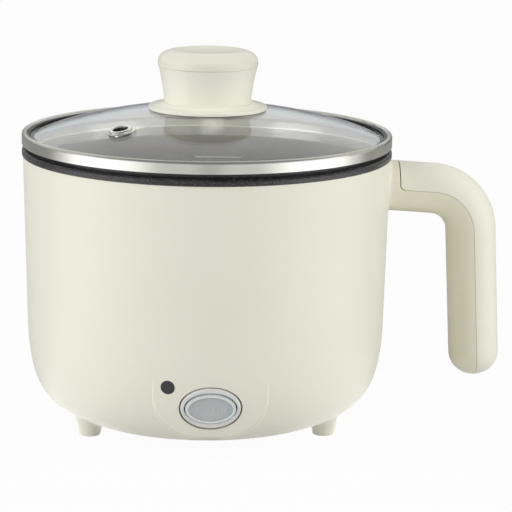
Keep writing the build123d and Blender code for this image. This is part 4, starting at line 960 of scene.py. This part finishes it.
def makeWorld(look, cardGroup):
    # Even ambient light on matt surfaces, and plain white for the camera and through glass. Shiny
    # faces see a soft surround: the horizon, or the cards where they look low and to the front,
    # + share x (backdrop - horizon), with share = rise x fall x behind x aside
    world = bpy.data.worlds.new("studioWorld")
    world.use_nodes = True
    tree = world.node_tree
    seen = look["mirrored"]
    direction = addNode(tree, "TexCoord").outputs["Generated"]
    side, depth, height = addNode(tree, "SeparateXYZ", Vector=direction).outputs
    rise = addRange(tree, height, *seen["riseEnds"], 0.0, 1.0)
    fall = addRange(tree, height, *seen["fallEnds"], 1.0, 0.0)
    behind = addRange(tree, depth, *seen["behindEnds"], 0.0, 1.0)
    sideways = addMath(tree, "ABSOLUTE", side)
    aside = addRange(tree, sideways, *seen["asideEnds"], 1.0, seen["aside"])
    share = addProduct(tree, rise, fall, behind, aside)
    ahead = addRange(tree, depth, *seen["aheadEnds"], 1.0, 0.0)
    low = addRange(tree, height, *seen["cardEnds"], 1.0, 0.0)
    cards = useGroup(tree, cardGroup, Vector=direction).outputs["Level"]
    lowLevel = addRange(tree, addProduct(tree, ahead, low), 0.0, 1.0, seen["horizon"], cards)
    backdrop = addProduct(tree, share, seen["backdrop"] - seen["horizon"])
    mirrored = addMath(tree, "ADD", lowLevel, backdrop)
    tint = addMix(tree, share, seen["horizonTint"], seen["backdropTint"])
    path = addNode(tree, "LightPath")
    glossy = path.outputs["Is Glossy Ray"]
    plain = addMath(
        tree, "MAXIMUM", path.outputs["Is Camera Ray"], path.outputs["Is Transmission Ray"]
    )
    matt = addMath(tree, "SUBTRACT", 1.0, addMath(tree, "MAXIMUM", plain, glossy))
    ambient = addProduct(tree, matt, look["ambient"])
    bright = addMath(tree, "MAXIMUM", plain, addProduct(tree, glossy, mirrored))
    feedAll(tree, tree.nodes["Background"], {
        "Strength": addMath(tree, "ADD", ambient, bright),
        "Color": addMix(tree, glossy, white, tint),
    })
    bpy.context.scene.world = world


def makeFloor(look, cardGroup):
    # White floor that keeps the shadow. The camera sees it as almost plain white, shiny faces see
    # the cards in it, and from below it is clear
    material, tree, paper = newFinish("floorPaper", Roughness=0.9, Specular_IOR_Level=0.1)
    place = addNode(tree, "TexCoord").outputs["Object"]
    fibre = addNode(tree, "TexNoise", Vector=place, Scale=900.0, Detail=2.0)
    feed(tree, paper.inputs["Base Color"], addMix(tree, fibre.outputs["Fac"], *look["paper"]))
    path = addNode(tree, "LightPath")
    glossy = path.outputs["Is Glossy Ray"]
    cards = useGroup(tree, cardGroup, Vector=place).outputs["Level"]
    strength = addRange(tree, glossy, 0.0, 1.0, 1.0, cards)
    glow = addNode(tree, "Emission", Color=white, Strength=strength)
    seen = addProduct(tree, path.outputs["Is Camera Ray"], look["floorGlow"])
    bounced = addMath(tree, "MAXIMUM", glossy, path.outputs["Is Transmission Ray"])
    mirrored = addProduct(tree, bounced, look["floorMirrored"])
    share = addMath(tree, "MAXIMUM", seen, mirrored)
    lit = addShaderMix(tree, share, paper.outputs[0], glow.outputs[0])
    below = addNode(tree, "NewGeometry").outputs["Backfacing"]
    clear = addNode(tree, "BsdfTransparent").outputs[0]
    oneSided = addShaderMix(tree, below, lit, clear)
    feed(tree, tree.nodes["Material Output"].inputs["Surface"], oneSided)
    half = look["floorHalf"]
    corners = [(-half, -half, 0.0), (half, -half, 0.0), (half, half, 0.0), (-half, half, 0.0)]
    mesh = bpy.data.meshes.new("floor")
    mesh.from_pydata(corners, [], [(0, 1, 2, 3)])
    mesh.materials.append(material)
    floor = bpy.data.objects.new("floor", mesh)
    bpy.context.scene.collection.objects.link(floor)


def makeLamps(look):
    # Area lamps turned to their targets; shiny faces see the cards in place of the lamps
    for name, place, target, (width, height), watts, spread, colour in look["lamps"]:
        light = bpy.data.lights.new(name, "AREA")
        light.shape = "RECTANGLE"
        light.size = width
        light.size_y = height
        light.energy = watts
        light.spread = math.radians(spread)
        light.color = colour
        lamp = bpy.data.objects.new(name, light)
        lamp.location = place
        lamp.visible_glossy = False
        lamp.rotation_euler = (Vector(target) - Vector(place)).to_track_quat("-Z", "Y").to_euler()
        bpy.context.scene.collection.objects.link(lamp)


cardGroup = makeCardGroup(studio["cards"])
makeWorld(studio, cardGroup)
makeFloor(studio, cardGroup)
makeLamps(studio)
print("studio made")


# Camera: its place, its turn in degrees, and its lens in millimetres

camera = {
    "eye": (-0.0308, -0.9998, 0.3059),
    "yaw": 3.2,
    "pitch": 12.54,
    "roll": 0.83,
    "lens": 142.8,
    "sensor": 36.0,
    "clipEnds": (0.01, 50.0),
}


def makeCamera(look):
    # It looks along forward = (sin yaw cos pitch, cos yaw cos pitch, -sin pitch), and its level and
    # upright directions are turned by the roll about that
    yaw, pitch, roll = (math.radians(look[label]) for label in ("yaw", "pitch", "roll"))
    forward = Vector((
        math.sin(yaw) * math.cos(pitch), math.cos(yaw) * math.cos(pitch), -math.sin(pitch)
    ))
    level = Vector((math.cos(yaw), -math.sin(yaw), 0.0))
    above = level.cross(forward)
    right = math.cos(roll) * level + math.sin(roll) * above
    up = math.cos(roll) * above - math.sin(roll) * level
    data = bpy.data.cameras.new("camera")
    data.lens = look["lens"]
    data.sensor_width = look["sensor"]
    data.clip_start, data.clip_end = look["clipEnds"]
    made = bpy.data.objects.new("camera", data)
    turn = Matrix((right, up, -forward)).transposed().to_4x4()
    made.matrix_world = Matrix.Translation(look["eye"]) @ turn
    bpy.context.scene.collection.objects.link(made)
    bpy.context.scene.camera = made


makeCamera(camera)
bpy.context.scene.view_settings.view_transform = "Standard"
print("camera placed")
